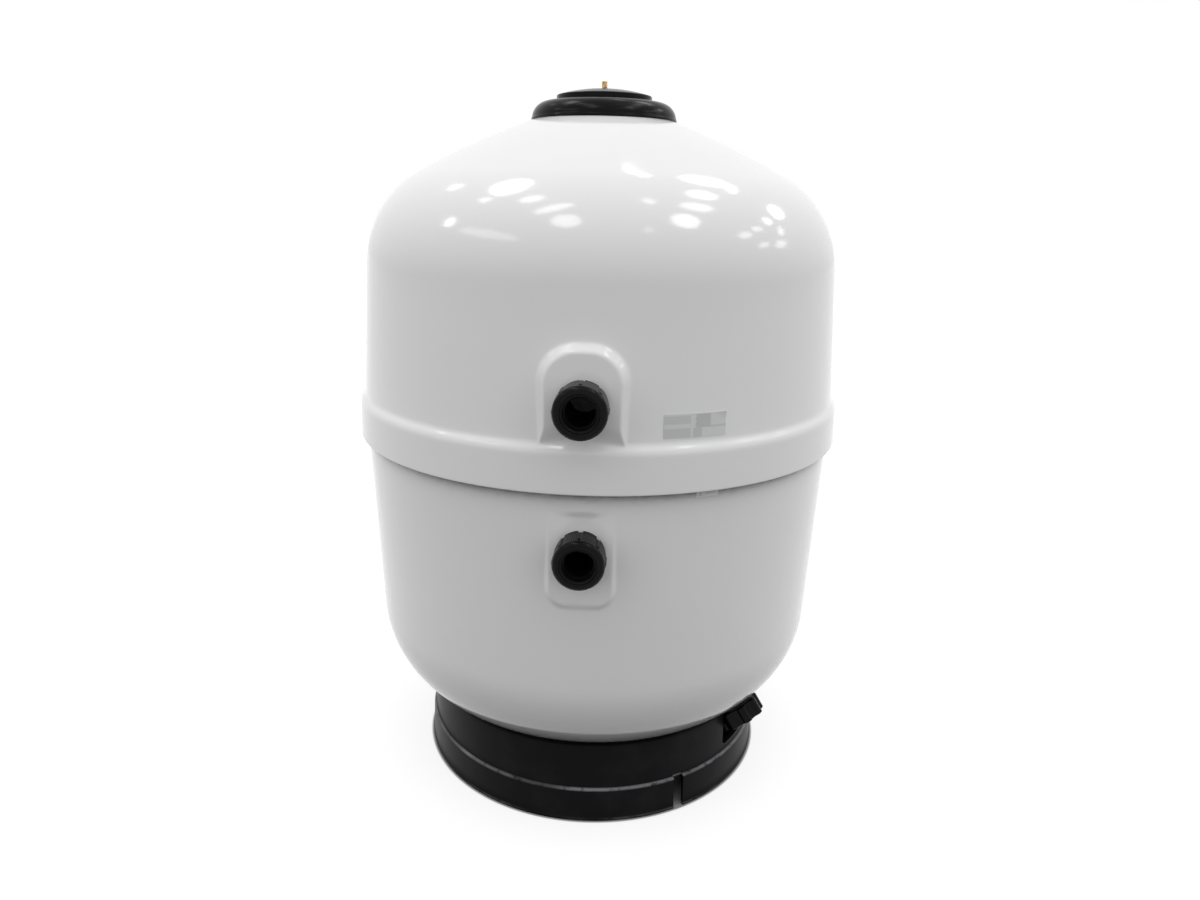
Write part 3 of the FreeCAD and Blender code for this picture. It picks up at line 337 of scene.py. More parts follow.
def slot_outline(left: float, right: float, bottom: float, top: float, corner: float) -> np.ndarray:
    """A rectangle with rounded corners, each a quarter circle of eight points."""
    turn = np.linspace(0.0, FULL_TURN / 4, 8)
    corners = [(right - corner, top - corner), (left + corner, top - corner),
               (left + corner, bottom + corner), (right - corner, bottom + corner)]
    turns = [turn + index * FULL_TURN / 4 for index in range(4)]
    return np.vstack([np.array(middle) + corner * np.stack([np.cos(turn), np.sin(turn)], axis=-1)
                      for middle, turn in zip(corners, turns)])


def rod(name: str, place: Place, radius: float, bottom: float, top: float) -> bpy.types.Object:
    """A plain closed rod that cuts a round hole."""
    return prism(name, round_outline(radius), place, bottom, top)


def merged(name: str, parts: list[bpy.types.Object]) -> bpy.types.Object:
    """Joins pieces that touch into one object.

    Args:
        name: Name of the result.
        parts: The pieces, which are removed.

    Returns:
        The object.
    """
    whole = bmesh.new()
    for part in parts:
        whole.from_mesh(part.data)
        bpy.data.objects.remove(part)
    mesh = bpy.data.meshes.new(name)
    whole.to_mesh(mesh)
    whole.free()
    mesh.shade_smooth()
    mesh.set_sharp_from_angle(angle=math.radians(SHARP))
    return linked(name, mesh)


@dataclass(frozen=True)
class Thread:
    """A screw thread between two heights of a turned surface."""

    bottom: float
    top: float
    pitch: float
    depth: float

    def cut(self, height: np.ndarray, azimuth: np.ndarray) -> np.ndarray:
        """How far the thread draws the surface in.

        The ridge is a rounded triangle of the phase height / pitch - azimuth / turn, and it fades out
        over half a pitch at both ends.

        Args:
            height: Heights on the surface.
            azimuth: Directions in radians.

        Returns:
            The depths, 0 outside the thread.
        """
        phase = (height / self.pitch - azimuth / FULL_TURN) % 1.0
        groove = smooth_step(1 - np.abs(2 * phase - 1), 0.15, 0.85)
        fade = self.pitch / 2
        ends = smooth_step(height, self.bottom, self.bottom + fade) * (
            1 - smooth_step(height, self.top - fade, self.top))
        return self.depth * groove * ends


def threaded(points: np.ndarray, columns: np.ndarray, thread: Thread, radius: float) -> np.ndarray:
    """Turns a profile and cuts a thread into its runs at one radius.

    Args:
        points: Profile of (radius, height), divided finely enough for the thread.
        columns: Azimuths.
        thread: The thread.
        radius: Radius of the runs that carry it. A negative one marks a bore, whose thread goes outwards.

    Returns:
        The grid.
    """
    grid = turned(points, columns)
    carries = np.abs(points[:, :1] - abs(radius)) < 0.05
    depth = thread.cut(grid[..., 2], np.broadcast_to(columns, grid.shape[:2])) * carries
    wide = points[:, :1] - depth * math.copysign(1.0, radius)
    return spun(wide, columns, grid[..., 2])


# Shader expressions

@dataclass(frozen=True)
class Signal:
    """An output of a shader node that takes part in Python expressions."""

    nodes: "NodeSet"
    socket: bpy.types.NodeSocket

    def __add__(self, other: "Signal | float") -> "Signal":
        """Sum."""
        return self.nodes.math("ADD", self, other)

    __radd__ = __add__

    def __sub__(self, other: "Signal | float") -> "Signal":
        """Difference."""
        return self.nodes.math("SUBTRACT", self, other)

    def __rsub__(self, other: "Signal | float") -> "Signal":
        """Difference with the number first."""
        return self.nodes.math("SUBTRACT", other, self)

    def __mul__(self, other: "Signal | float") -> "Signal":
        """Product."""
        return self.nodes.math("MULTIPLY", self, other)

    def clipped(self) -> "Signal":
        """The value held between 0 and 1."""
        return self.nodes.node("ShaderNodeClamp", {}, {"Value": self})

    def between(self, low: float, high: float) -> "Signal":
        """A step from 0 at low to 1 at high."""
        return self.nodes.node("ShaderNodeMapRange", {"interpolation_type": "SMOOTHSTEP"},
                               {"Value": self, "From Min": low, "From Max": high})


@dataclass(frozen=True)
class NodeSet:
    """The nodes of one material or of the world."""

    tree: bpy.types.NodeTree

    def node(self, kind: str, settings: dict, sockets: dict, output: int | str = 0) -> Signal:
        """Adds a node.

        Args:
            kind: Type of the node.
            settings: Properties, set first.
            sockets: Values or signals of its inputs, by name or number.
            output: The output that is wanted.

        Returns:
            That output.
        """
        made = self.tree.nodes.new(kind)
        for key, value in settings.items():
            setattr(made, key, value)
        for key, value in sockets.items():
            if isinstance(value, Signal):
                self.tree.links.new(value.socket, made.inputs[key])
            else:
                made.inputs[key].default_value = value
        return Signal(self, made.outputs[output])

    def finish(self, kind: str, surface: Signal) -> None:
        """Joins a shader to the output node of a material or of the world."""
        output = self.tree.nodes.new(kind)
        self.tree.links.new(surface.socket, output.inputs["Surface"])

    @classmethod
    def cleared(cls, owner: bpy.types.Material | bpy.types.World) -> "NodeSet":
        """Empties the node tree of a material or of the world."""
        owner.use_nodes = True
        owner.node_tree.nodes.clear()
        return cls(owner.node_tree)

    def attribute(self, name: str) -> Signal:
        """The number that a mesh carries under a name."""
        return self.node("ShaderNodeAttribute", {"attribute_name": name}, {}, "Fac")

    def part(self, vector: Signal, axis: str) -> Signal:
        """The X, Y or Z part of a vector."""
        return self.node("ShaderNodeSeparateXYZ", {}, {"Vector": vector}, axis)

    def math(self, operation: str, first: Signal | float, second: Signal | float) -> Signal:
        """Adds a Math node."""
        return self.node("ShaderNodeMath", {"operation": operation}, {0: first, 1: second})

    def place(self) -> Signal:
        """Object coordinates."""
        return self.node("ShaderNodeTexCoord", {}, {}, "Object")

    def stretched(self, scale: Triple) -> Signal:
        """Object coordinates with a scale of their own on each axis."""
        return self.node("ShaderNodeMapping", {}, {"Vector": self.place(), "Scale": scale})

    def noise(self, scale: float, detail: float = 2.0, vector: Signal | None = None) -> Signal:
        """Noise between 0 and 1.

        Args:
            scale: Waves to the metre.
            detail: Octaves.
            vector: Coordinates, or None for the object's.

        Returns:
            The noise's value.
        """
        return self.node("ShaderNodeTexNoise", {"normalize": True},
                         {"Vector": vector or self.place(), "Scale": scale, "Detail": detail})

    def mixed(self, share: Signal | float, first: Signal | Colour, second: Signal | Colour) -> Signal:
        """Mixes two colours.

        Args:
            share: 0 gives the first, 1 the second.
            first: A colour or a signal.
            second: A colour or a signal.

        Returns:
            The mixed colour.
        """
        colours = [value if isinstance(value, Signal) else (*value, 1.0) for value in (first, second)]
        return self.node("ShaderNodeMix", {"data_type": "RGBA", "clamp_factor": True},
                         {0: share, 6: colours[0], 7: colours[1]}, 2)

    def bump(self, height: Signal, distance: float, strength: float = 1.0) -> Signal:
        """Turns a height between 0 and 1 into a normal.

        Args:
            height: The height.
            distance: What 1 stands for, in millimetres.
            strength: Share of the effect.

        Returns:
            The normal.
        """
        return self.node("ShaderNodeBump", {},
                         {"Height": height, "Distance": distance * MM, "Strength": strength})


class Finish:
    """What one material looks like. Each kind of surface is a subclass."""

    name: str

    def nodes(self, nodes: NodeSet) -> dict:
        """Gives the values and signals of the surface's sockets."""
        raise NotImplementedError

    def material(self) -> bpy.types.Material:
        """Makes the material once and gives it again after that."""
        ready = bpy.data.materials.get("finish_" + self.name)
        if ready:
            return ready
        material = bpy.data.materials.new("finish_" + self.name)
        nodes = NodeSet.cleared(material)
        surface = nodes.node("ShaderNodeBsdfPrincipled", {}, self.nodes(nodes))
        nodes.finish("ShaderNodeOutputMaterial", surface)
        return material


def faded(colour: Colour, share: float) -> Colour:
    """A share of a colour."""
    return tuple(share * part for part in colour)


@dataclass(frozen=True)
class Gelcoat(Finish):
    """Glossy white gelcoat outside, glass laminate inside."""

    name: str = "gelcoat"
    colour: Colour = (0.812, 0.814, 0.814)
    laminate: Colour = (0.62, 0.6, 0.5)
    # Colour of the painted shade under the belt's edge and just above the stand
    painted_shade: Colour = (0.16, 0.155, 0.15)

    def nodes(self, nodes: NodeSet) -> dict:
        """Faint tone changes, orange peel, the long waves of a hand-laid mould and painted shade under the
        belt and above the stand.
        """
        inside = nodes.attribute("inside")
        tone = nodes.noise(3.0, 3.0)
        fibre = nodes.noise(60.0, 6.0, nodes.stretched((1.0, 1.0, 2.5)))
        outer = nodes.mixed(tone.between(0.35, 0.7), self.colour, faded(self.colour, 0.985))
        inner = nodes.mixed(fibre.between(0.3, 0.7), self.laminate, faded(self.laminate, 0.8))
        waves = nodes.noise(9.0, 2.0, nodes.stretched((1.0, 1.0, 0.45)))
        peel = nodes.noise(260.0, 1.0)
        height = waves * 0.5 + peel * 0.02 + inside * fibre * 0.8
        # Painted shade: the gelcoat darkens by the attribute, mottled by the fibre noise
        shaded = nodes.mixed(nodes.attribute("painted_shade") * (0.55 + fibre * 0.6), outer, self.painted_shade)
        return {
            "Base Color": nodes.mixed(inside, shaded, inner),
            "Roughness": 0.085 + nodes.noise(14.0, 3.0) * 0.05 + inside * 0.4,
            "IOR": 1.5,
            "Normal": nodes.bump(height, 1.1, 0.35),
        }


@dataclass(frozen=True)
class BlackPlastic(Finish):
    """Black moulded plastic with a grain, a little dust and paler worn patches."""

    name: str
    colour: Colour
    roughness: float
    grain: float
    grain_depth: float
    dust: float = 0.25
    shine: float = 0.12

    def nodes(self, nodes: NodeSet) -> dict:
        """Fine grain, cloudy gloss and thin dust that settles in patches."""
        cloud = nodes.noise(16.0, 5.0)
        speck = nodes.noise(420.0, 2.0).between(0.62, 0.74)
        dusty = cloud.between(0.42, 0.8) * self.dust + speck * self.dust * 0.4
        paler = tuple(0.018 + part * 1.5 for part in self.colour)
        return {
            "Base Color": nodes.mixed(dusty, self.colour, paler),
            "Roughness": self.roughness + cloud * 0.14 - 0.05,
            "Specular IOR Level": self.shine,
            "Normal": nodes.bump(nodes.noise(self.grain, 3.0), self.grain_depth, 0.6),
        }


@dataclass(frozen=True)
class StandPlastic(BlackPlastic):
    """The stand's black plastic, with painted highlights as paler lines along its ledge and its foot."""

    # Colour of the painted highlights along the ledge and the foot
    painted_highlight: Colour = (0.2, 0.2, 0.21)
    ledge_highlight: Step = (0.0605, 0.0645, 0.0655, 0.0668)
    foot_highlight: Step = (0.001, 0.003, 0.005, 0.007)

    def nodes(self, nodes: NodeSet) -> dict:
        """The plain plastic with two painted highlight lines by height, broken up by clouds."""
        found = super().nodes(nodes)
        height = nodes.part(nodes.place(), "Z")
        ledge, foot = (height.between(*line[:2]) - height.between(*line[2:])
                       for line in (self.ledge_highlight, self.foot_highlight))
        patches = nodes.noise(7.0, 3.0).between(0.36, 0.62)
        # Painted highlight mask: strong along the ledge, fainter at the foot
        line = (ledge * (0.35 + patches * 0.65) + foot * 0.3 * patches).clipped()
        found["Base Color"] = nodes.mixed(line * nodes.noise(90.0, 4.0).between(0.2, 0.5),
                                          found["Base Color"], self.painted_highlight)
        return found


@dataclass(frozen=True)
class PipePlastic(Finish):
    """Pipe and fittings inside the vessel, toned grey as painted shade so that an open port looks dark."""

    name: str = "pipe_white"
    # Painted shade: grey in place of the pipes' white
    colour: Colour = (0.42, 0.425, 0.42)

    def nodes(self, nodes: NodeSet) -> dict:
        """Faint drawing lines along the pipes and a soft gloss."""
        lines = nodes.noise(160.0, 2.0, nodes.stretched((1.0, 1.0, 0.05)))
        return {
            "Base Color": nodes.mixed(lines, self.colour, faded(self.colour, 0.93)),
            "Roughness": 0.32 + lines * 0.12,
            "Normal": nodes.bump(lines, 0.05, 0.5),
        }


@dataclass(frozen=True)
class Rubber(Finish):
    """Soft black rubber of the rings."""

    name: str = "seal_rubber"
    colour: Colour = (0.018, 0.018, 0.018)

    def nodes(self, nodes: NodeSet) -> dict:
        """A dull bloom over a fine grain."""
        bloom = nodes.noise(90.0, 4.0)
        return {
            "Base Color": nodes.mixed(bloom, self.colour, (0.04, 0.04, 0.04)),
            "Roughness": 0.68 + bloom * 0.15,
            "Normal": nodes.bump(nodes.noise(900.0, 2.0), 0.05, 0.5),
        }


@dataclass(frozen=True)
class Brass(Finish):
    """Turned brass that has dulled in air."""

    name: str = "brass"
    colour: Colour = (0.62, 0.42, 0.19)
    dull: Colour = (0.26, 0.17, 0.09)

    def nodes(self, nodes: NodeSet) -> dict:
        """Turning marks round the stem and brown tarnish in patches."""
        marks = nodes.noise(900.0, 2.0, nodes.stretched((0.05, 0.05, 1.0)))
        tarnish = nodes.noise(120.0, 4.0)
        return {
            "Base Color": nodes.mixed(tarnish.between(0.35, 0.75), self.colour, self.dull),
            "Metallic": 1.0,
            "Roughness": 0.28 + tarnish * 0.25 + marks * 0.1,
            "Normal": nodes.bump(marks, 0.04, 0.6),
        }


@dataclass(frozen=True)
class Adhesive(Finish):
    """Cured resin between the shells."""

    name: str = "adhesive"
    colour: Colour = (0.66, 0.63, 0.52)

    def nodes(self, nodes: NodeSet) -> dict:
        """Cloudy resin with a lumpy skin."""
        lumps = nodes.noise(70.0, 4.0)
        return {
            "Base Color": nodes.mixed(lumps, self.colour, (0.5, 0.47, 0.38)),
            "Roughness": 0.35 + lumps * 0.2,
            "Normal": nodes.bump(lumps, 0.8, 0.6),
        }


@dataclass(frozen=True)
class Film(Finish):
    """A printed film without any print that can be read: plain paler and darker fields."""

    name: str = "label_film"
    colour: Colour = (0.66, 0.665, 0.67)
    field: Colour = (0.5, 0.505, 0.51)

    def nodes(self, nodes: NodeSet) -> dict:
        """Grey fields by an attribute, a little mottled, on a film with a soft gloss."""
        field = nodes.attribute("field")
        mottle = nodes.noise(700.0, 3.0)
        return {
            "Base Color": nodes.mixed(field * (0.7 + mottle * 0.4), self.colour, self.field),
            "Roughness": 0.3 + mottle * 0.12,
            "Normal": nodes.bump(nodes.noise(90.0, 2.0), 0.15, 0.4),
        }


class Skin(Enum):
    """The finish of each kind of piece."""

    GELCOAT = Gelcoat()
    ADHESIVE = Adhesive()
    BASE = StandPlastic("base_black", (0.0042, 0.0042, 0.005), 0.34, 500.0, 0.12, 0.3, 0.055)
    GLOSS = BlackPlastic("gloss_black", (0.004, 0.004, 0.0045), 0.2, 300.0, 0.03, 0.15, 0.09)
    FITTING = BlackPlastic("fitting_black", (0.0045, 0.0045, 0.005), 0.3, 420.0, 0.06, 0.15, 0.07)
    LABEL = Film()
    PIPE = PipePlastic()
    RUBBER = Rubber()
    BRASS = Brass()


def dress(piece: bpy.types.Object, skin: Skin) -> None:
    """Gives a piece its one material."""
    piece.data.materials.clear()
    piece.data.materials.append(skin.value.material())


def settle(piece: bpy.types.Object, body: str, skin: Skin, *nodes: str) -> None:
    """Dresses a new piece, hangs it on its body and lets it stand for CAD nodes.

    Args:
        piece: The piece.
        body: The body that it moves with.
        skin: Its finish.
        nodes: The nodes that it replaces.
    """
    dress(piece, skin)
    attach(piece, body)
    if nodes:
        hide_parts(*nodes)
    LOG.info("%s on %s stands for %s: %d faces", piece.name, body, ", ".join(nodes) or "itself",
             len(piece.data.polygons))


@dataclass(frozen=True)
class Boss:
    """A flat boss for a port, whose outline is a strip with two rounded corners at its tip."""

    face: float
    half: float
    corner: float
    tip: float
    open_end: float
    slope: float
    run_out: float = 1.0
    lip: float = 3.5
    rounds: int = 4

    @property
    def sign(self) -> int:
        """1 where the tip is above the open end, -1 where it is below."""
        return 1 if self.tip > self.open_end else -1

    def distance(self, across: np.ndarray, height: np.ndarray) -> np.ndarray:
        """Distance from the outline, negative inside.

        With a and b the distances past the corners' centres, to the side and towards the tip, it is
        the length of (max(a, 0), max(b, 0)) plus min(max(a, b), 0), less the corner's radius. The open
        end is a straight line, past which the distance grows at the rate run_out.

        Args:
            across: Places to the right.
            height: Heights.

        Returns:
            The distances.
        """
        side = np.abs(across) - (self.half - self.corner)
        beyond = (height - self.tip) * self.sign + self.corner
        round_end = np.hypot(np.maximum(side, 0.0), np.maximum(beyond, 0.0)) + np.minimum(
            np.maximum(side, beyond), 0.0) - self.corner
        return np.maximum(round_end, (self.open_end - height) * self.sign * self.run_out)

    def reach(self, radius: np.ndarray, azimuth: np.ndarray, height: np.ndarray) -> np.ndarray:
        """Radius at which the boss's surface lies in a direction.

        The surface lies at -Y of face - ramp(distance) / tan(slope). Its radius is that divided by the
        azimuth's cosine, and the place across is the radius times the sine, so it is worked out by
        a few rounds of substitution.

        Args:
            radius: Wall radii to start from.
            azimuth: Directions.
            height: Heights.

        Returns:
            The radii, 0 on the far side.
        """
        cosine = np.maximum(np.cos(azimuth), LEAST_COSINE)
        found = radius
        for _ in range(self.rounds):
            depth = soft_ramp(self.distance(found * np.sin(azimuth), height), self.lip)
            found = np.maximum(self.face - depth / math.tan(math.radians(self.slope)), 0.0) / cosine
        return np.where(np.cos(azimuth) > FRONT_COSINE, found, 0.0)


@dataclass
class Vessel:
    """The laminated vessel: an upper shell whose skirt forms the belt, and a lower shell."""

    wall: float = 7.0
    middle_height: float = 700.0
    foot_radius: float = 430.7
    foot_height: float = 325.0
    lower_draft: float = math.radians(2.2)
    lower_knuckle: float = 200.0
    lower_turn: float = math.radians(55)
    seam_height: float = 740.0
    glue: float = 2.4
    belt_radius: float = 457.0
    belt_bottom: float = 675.0
    belt_face: float = 59.0
    belt_lean: float = 2.0
    belt_edge: float = 1.6
    boss_fillet: float = 3.5
    plain_above: float = 925.0
    plain_step: float = 9.0
    arc_step: float = 3.0
    row_step: float = 2.6
    inner_step: float = 14.0
    lower_arc_step: float = 4.2
    lower_row_step: float = 4.4
    lower_inner_step: float = 16.0
    coarse: float = 1.5
    side_soft: float = 3.0
    end_soft: float = 2.5
    foot_soft: float = 2.0
    proud_over: float = 12.0
    lower_fillet: float = 3.0
    shoulder_top: float = 758.0
    shoulder_share: float = 0.57
    base_radius: float = 445.5
    top_radius: float = 431.5
    wall_top: float = 985.0
    knuckle: float = 195.0
    turn: float = math.radians(61)
    crown: float = 1368.0
    mouth: float = 110.1
    port_height: float = 574.0
    port_spacing: float = 238.0
    tail_hole: float = 33.4
    upper_boss: Boss = Boss(451.0, 58.5, 50.0, 892.0, 770.0, 34.0, 0.3)
    lower_boss: Boss = Boss(440.0, 52.0, 30.0, 482.0, 639.0, 32.0)
    drain: Place = Place(
        (331.07 * math.sin(math.radians(60)), -331.07 * math.cos(math.radians(60)), 155.5),
        (math.cos(math.radians(52)) * math.sin(math.radians(60)),
         -math.cos(math.radians(52)) * math.cos(math.radians(60)), -math.sin(math.radians(52))),
    )
    drain_boss: float = 46.0
    drain_hole: float = 24.4
    drain_span: float = 60.0
    # Painted shade under the belt's edge, and its strength and spread above the stand
    shade_band: float = 6.0
    shade_fade: float = 8.0
    foot_shade: float = 0.5
    foot_shade_height: float = 150.0
    foot_shade_fade: float = 75.0
    foot_shade_from: float = 120.0

    @property
    def upper_draft(self) -> float:
        """Lean of the upper wall from the vertical."""
        return math.atan((self.base_radius - self.top_radius) / (self.wall_top - self.shoulder_top))

    def port(self, boss: Boss, height: float) -> Place:
        """The axis of a port, with its seat on the boss's face."""
        return Place((0.0, -boss.face, height), (0.0, -1.0, 0.0))

    def crown_height(self, radius: float, offset: float = 0.0) -> float:
        """Height of the crown at a radius, on a surface offset outwards."""
        centre_radius, centre_height = self.knuckle_centre()
        drop = self.crown - self.knuckle
        middle = centre_radius - drop * math.cos(self.turn)
        base = centre_height - drop * math.sin(self.turn)
        return base + math.sqrt((self.crown + offset) ** 2 - (radius - middle) ** 2)

    def knuckle_centre(self) -> tuple[float, float]:
        """Radius and height of the upper knuckle's centre."""
        draft = self.upper_draft
        return (self.top_radius - self.knuckle * math.cos(draft),
                self.wall_top - self.knuckle * math.sin(draft))

    def lower_wall(self, height: float, offset: float = 0.0) -> float:
        """Radius of the lower shell's wall at a height."""
        return (self.foot_radius + offset / math.cos(self.lower_draft)
                + (height - self.foot_height) * math.tan(self.lower_draft))

    def upper_steps(self, offset: float) -> list[Step]:
        """The wall, knuckle and crown of the upper shell, on a surface offset outwards."""
        draft = self.upper_draft
        centre_radius, centre_height = self.knuckle_centre()
        knuckle = self.knuckle + offset
        return [
            (centre_radius + knuckle * math.cos(draft), centre_height + knuckle * math.sin(draft), knuckle),
            (centre_radius + knuckle * math.cos(self.turn), centre_height + knuckle * math.sin(self.turn),
             self.crown + offset),
            (self.mouth, self.crown_height(self.mouth, offset)),
        ]

    def upper_shell(self) -> bpy.types.Object:
        """Builds the upper shell, its belt and the boss of the upper port.

        The outer skin is the turned profile, and each of its points goes out to the larger of the
        profile's radius and the boss's, with a fillet between. The inner skin is the turned inner
        profile.

        Returns:
            The piece.
        """
        face_top = self.belt_bottom + self.belt_face
        drop = self.belt_radius - self.belt_lean - self.base_radius
        rise = self.shoulder_top - face_top
        bend = (drop ** 2 + rise ** 2) / (2 * drop)
        middle = (self.belt_radius - self.belt_lean - drop * self.shoulder_share,
                  face_top + rise * self.shoulder_share)
        edge = self.belt_edge
        outside = profile([
            (self.belt_radius - edge, self.belt_bottom, edge),
            (self.belt_radius, self.belt_bottom + edge),
            (self.belt_radius - self.belt_lean, face_top, bend * self.shoulder_share),
            (*middle, -bend * (1 - self.shoulder_share)),
            (self.base_radius, self.shoulder_top),
            *self.upper_steps(0.0),
        ], self.arc_step)
        outside = divided(outside, self.row_step)
        low = outside[:, 1] < self.plain_above
        outside = np.vstack([outside[low], divided(outside[~low][::3], self.plain_step)])
        socket = self.lower_wall(self.seam_height) + self.glue
        seam_top = self.seam_height + self.glue
        inside = profile(self.upper_steps(-self.wall), self.inner_step)[::-1]
        draft = self.upper_draft
        seat_radius = (self.base_radius - self.wall / math.cos(draft)
                       - (seam_top - self.shoulder_top) * math.tan(draft))
        seat = [(seat_radius, seam_top), (socket, seam_top), (socket, self.belt_bottom)]
        inside = np.vstack([inside, seat])
        columns = azimuths([(0.0, 12.0, 0.22)], self.coarse)
        skin = turned(outside, columns)
        azimuth = np.broadcast_to(columns, skin.shape[:2])
        radius = np.broadcast_to(outside[:, :1], skin.shape[:2])
        height = skin[..., 2]
        wide = soft_max(radius, self.upper_boss.reach(radius, azimuth, height), self.boss_fillet)
        spread = (height > self.belt_bottom + 4) & (height < self.plain_above + 15)
        wide = np.where(spread, wide, radius)
        skin = spun(wide, azimuth, height)
        piece = mesh_piece("upper_shell_skin", np.vstack([skin, turned(inside, columns)]))
        self.mark_inside(piece, len(outside) * len(columns))
        return piece

    def mark_inside(self, piece: bpy.types.Object, outer: int) -> None:
        """Writes the attribute that tells laminate from gelcoat.

        A point is inside where its normal looks at the vessel's middle.

        Args:
            piece: The shell.
            outer: Number of points of the outer skin.
        """
        away = vertex_rows(piece, "co") - np.array([0.0, 0.0, self.middle_height * MM])
        inside = ((away * vertex_rows(piece, "normal")).sum(axis=1) < 0).astype(float)
        inside[:outer] = 0.0
        write_values(piece, "inside", inside)

    def lower_shell(self) -> bpy.types.Object:
        """Builds the lower shell with the recessed boss of the lower port and the drain's flat.

        The outer skin is the turned profile. Over the lower boss it is first drawn in to the boss's
        face where it stands proud of it, and then goes out to the larger of that and the boss. Round
        the drain each point slides along the drain's axis onto the plane of its seat.

        Returns:
            The piece.
        """
        outside = self.lower_profile(0.0, self.seam_height, self.lower_arc_step)
        rows = divided(outside, self.lower_row_step)
        inside = self.lower_profile(-self.wall, self.seam_height, self.lower_inner_step)[::-1]
        columns = azimuths([(0.0, 12.0, 0.3), (60.0, 10.0, 0.6)], self.coarse)
        skin = turned(rows, columns)
        azimuth = np.broadcast_to(columns, skin.shape[:2])
        radius = np.broadcast_to(rows[:, :1], skin.shape[:2])
        height = skin[..., 2]
        boss = self.lower_boss
        across = radius * np.sin(azimuth)
        front = np.cos(azimuth) > FRONT_COSINE
        level = boss.face / np.maximum(np.cos(azimuth), LEAST_COSINE)
        sides = 1 - smooth_step(np.abs(across), boss.half - self.side_soft, boss.half + self.side_soft)
        top = 1 - smooth_step(height, boss.open_end - self.end_soft, boss.open_end + self.end_soft)
        bend = boss.tip + boss.corner
        foot = smooth_step(height, bend - self.foot_soft, bend + self.foot_soft)
        recess = np.where(front, np.maximum(radius - level, 0.0) * sides * top * foot, 0.0)
        low = height < boss.open_end + self.proud_over
        proud = np.where(low, boss.reach(radius, azimuth, height), 0.0)
        wide = soft_max(radius - recess, proud, self.lower_fillet)
        skin = spun(wide, azimuth, height)
        axis = np.array(self.drain.axis)
        away = skin - np.array(self.drain.seat)
        along = away @ axis
        beside = np.linalg.norm(away - along[..., None] * axis, axis=-1)
        near = np.abs(along) < self.drain_span
        flat = (1 - smooth_step(beside, self.drain_boss - 2, self.drain_boss + 5)) * near
        skin = skin - (along * flat)[..., None] * axis
        piece = mesh_piece("lower_shell_skin", np.vstack([skin, turned(inside, columns)]))
        self.mark_inside(piece, (len(rows) - 1) * len(columns))
        self.mark_painted_shade(piece)
        return piece

    def mark_painted_shade(self, piece: bpy.types.Object) -> None:
        """Writes the attribute for painted shade: a darker colour under the belt's edge and just above the
        stand.
        """
        height = vertex_rows(piece, "co")[:, 2] / MM
        under_belt = np.exp(np.minimum(height - self.belt_bottom + self.shade_band, 0.0) / self.shade_fade)
        under_belt = under_belt * (height < self.belt_bottom + 1)
        above_stand = (self.foot_shade * np.exp((self.foot_shade_height - height) / self.foot_shade_fade)
                       * (height > self.foot_shade_from))
        write_values(piece, "painted_shade", np.minimum(under_belt + above_stand, 1.0))

    def lower_profile(self, offset: float, top: float, spacing: float) -> np.ndarray:
        """Profile of the lower shell from the axis to a height.

        Args:
            offset: Distance outwards from the outer skin.
            top: Height of its end.
            spacing: Distance between points on the arcs.

        Returns:
            The profile.
        """
        centre_radius, centre_height, bottom, middle = self.lower_circles()
        knuckle = self.lower_knuckle + offset
        return profile([
            (0.0, middle - bottom - offset, bottom + offset),
            (centre_radius + knuckle * math.cos(self.lower_turn),
             centre_height - knuckle * math.sin(self.lower_turn), knuckle),
            (centre_radius + knuckle * math.cos(self.lower_draft),
             centre_height - knuckle * math.sin(self.lower_draft)),
            (self.lower_wall(top, offset), top),
        ], spacing)

    def lower_circles(self) -> tuple[float, float, float, float]:
        """The lower knuckle's centre, as radius and height, and the bottom's radius and centre height."""
        centre_radius = self.foot_radius - self.lower_knuckle * math.cos(self.lower_draft)
        centre_height = self.foot_height + self.lower_knuckle * math.sin(self.lower_draft)
        bottom = self.lower_knuckle + centre_radius / math.cos(self.lower_turn)
        return (centre_radius, centre_height, bottom,
                centre_height + (bottom - self.lower_knuckle) * math.sin(self.lower_turn))

    def bottom_height(self, radius: float, offset: float) -> float:
        """Height of the bottom or of the knuckle at a radius, on a surface offset inwards."""
        centre_radius, centre_height, bottom, middle = self.lower_circles()
        if radius < bottom * math.cos(self.lower_turn):
            return middle - math.sqrt((bottom - offset) ** 2 - radius ** 2)
        return centre_height - math.sqrt((self.lower_knuckle - offset) ** 2 - (radius - centre_radius) ** 2)

    def build(self) -> None:
        """Builds and dresses both shells."""
        upper_port = self.port(self.upper_boss, self.port_height + self.port_spacing)
        lower_port = self.port(self.lower_boss, self.port_height)
        upper = cut_by(self.upper_shell(), [
            rod("upper_port_cut", upper_port, self.tail_hole, -60.0, 30.0)])
        settle(upper, "tank", Skin.GELCOAT, "upper_shell")
        lower = cut_by(self.lower_shell(), [
            rod("lower_port_cut", lower_port, self.tail_hole, -60.0, 30.0),
            rod("drain_cut", self.drain, self.drain_hole, -40.0, 30.0)])
        settle(lower, "tank", Skin.GELCOAT, "lower_shell")


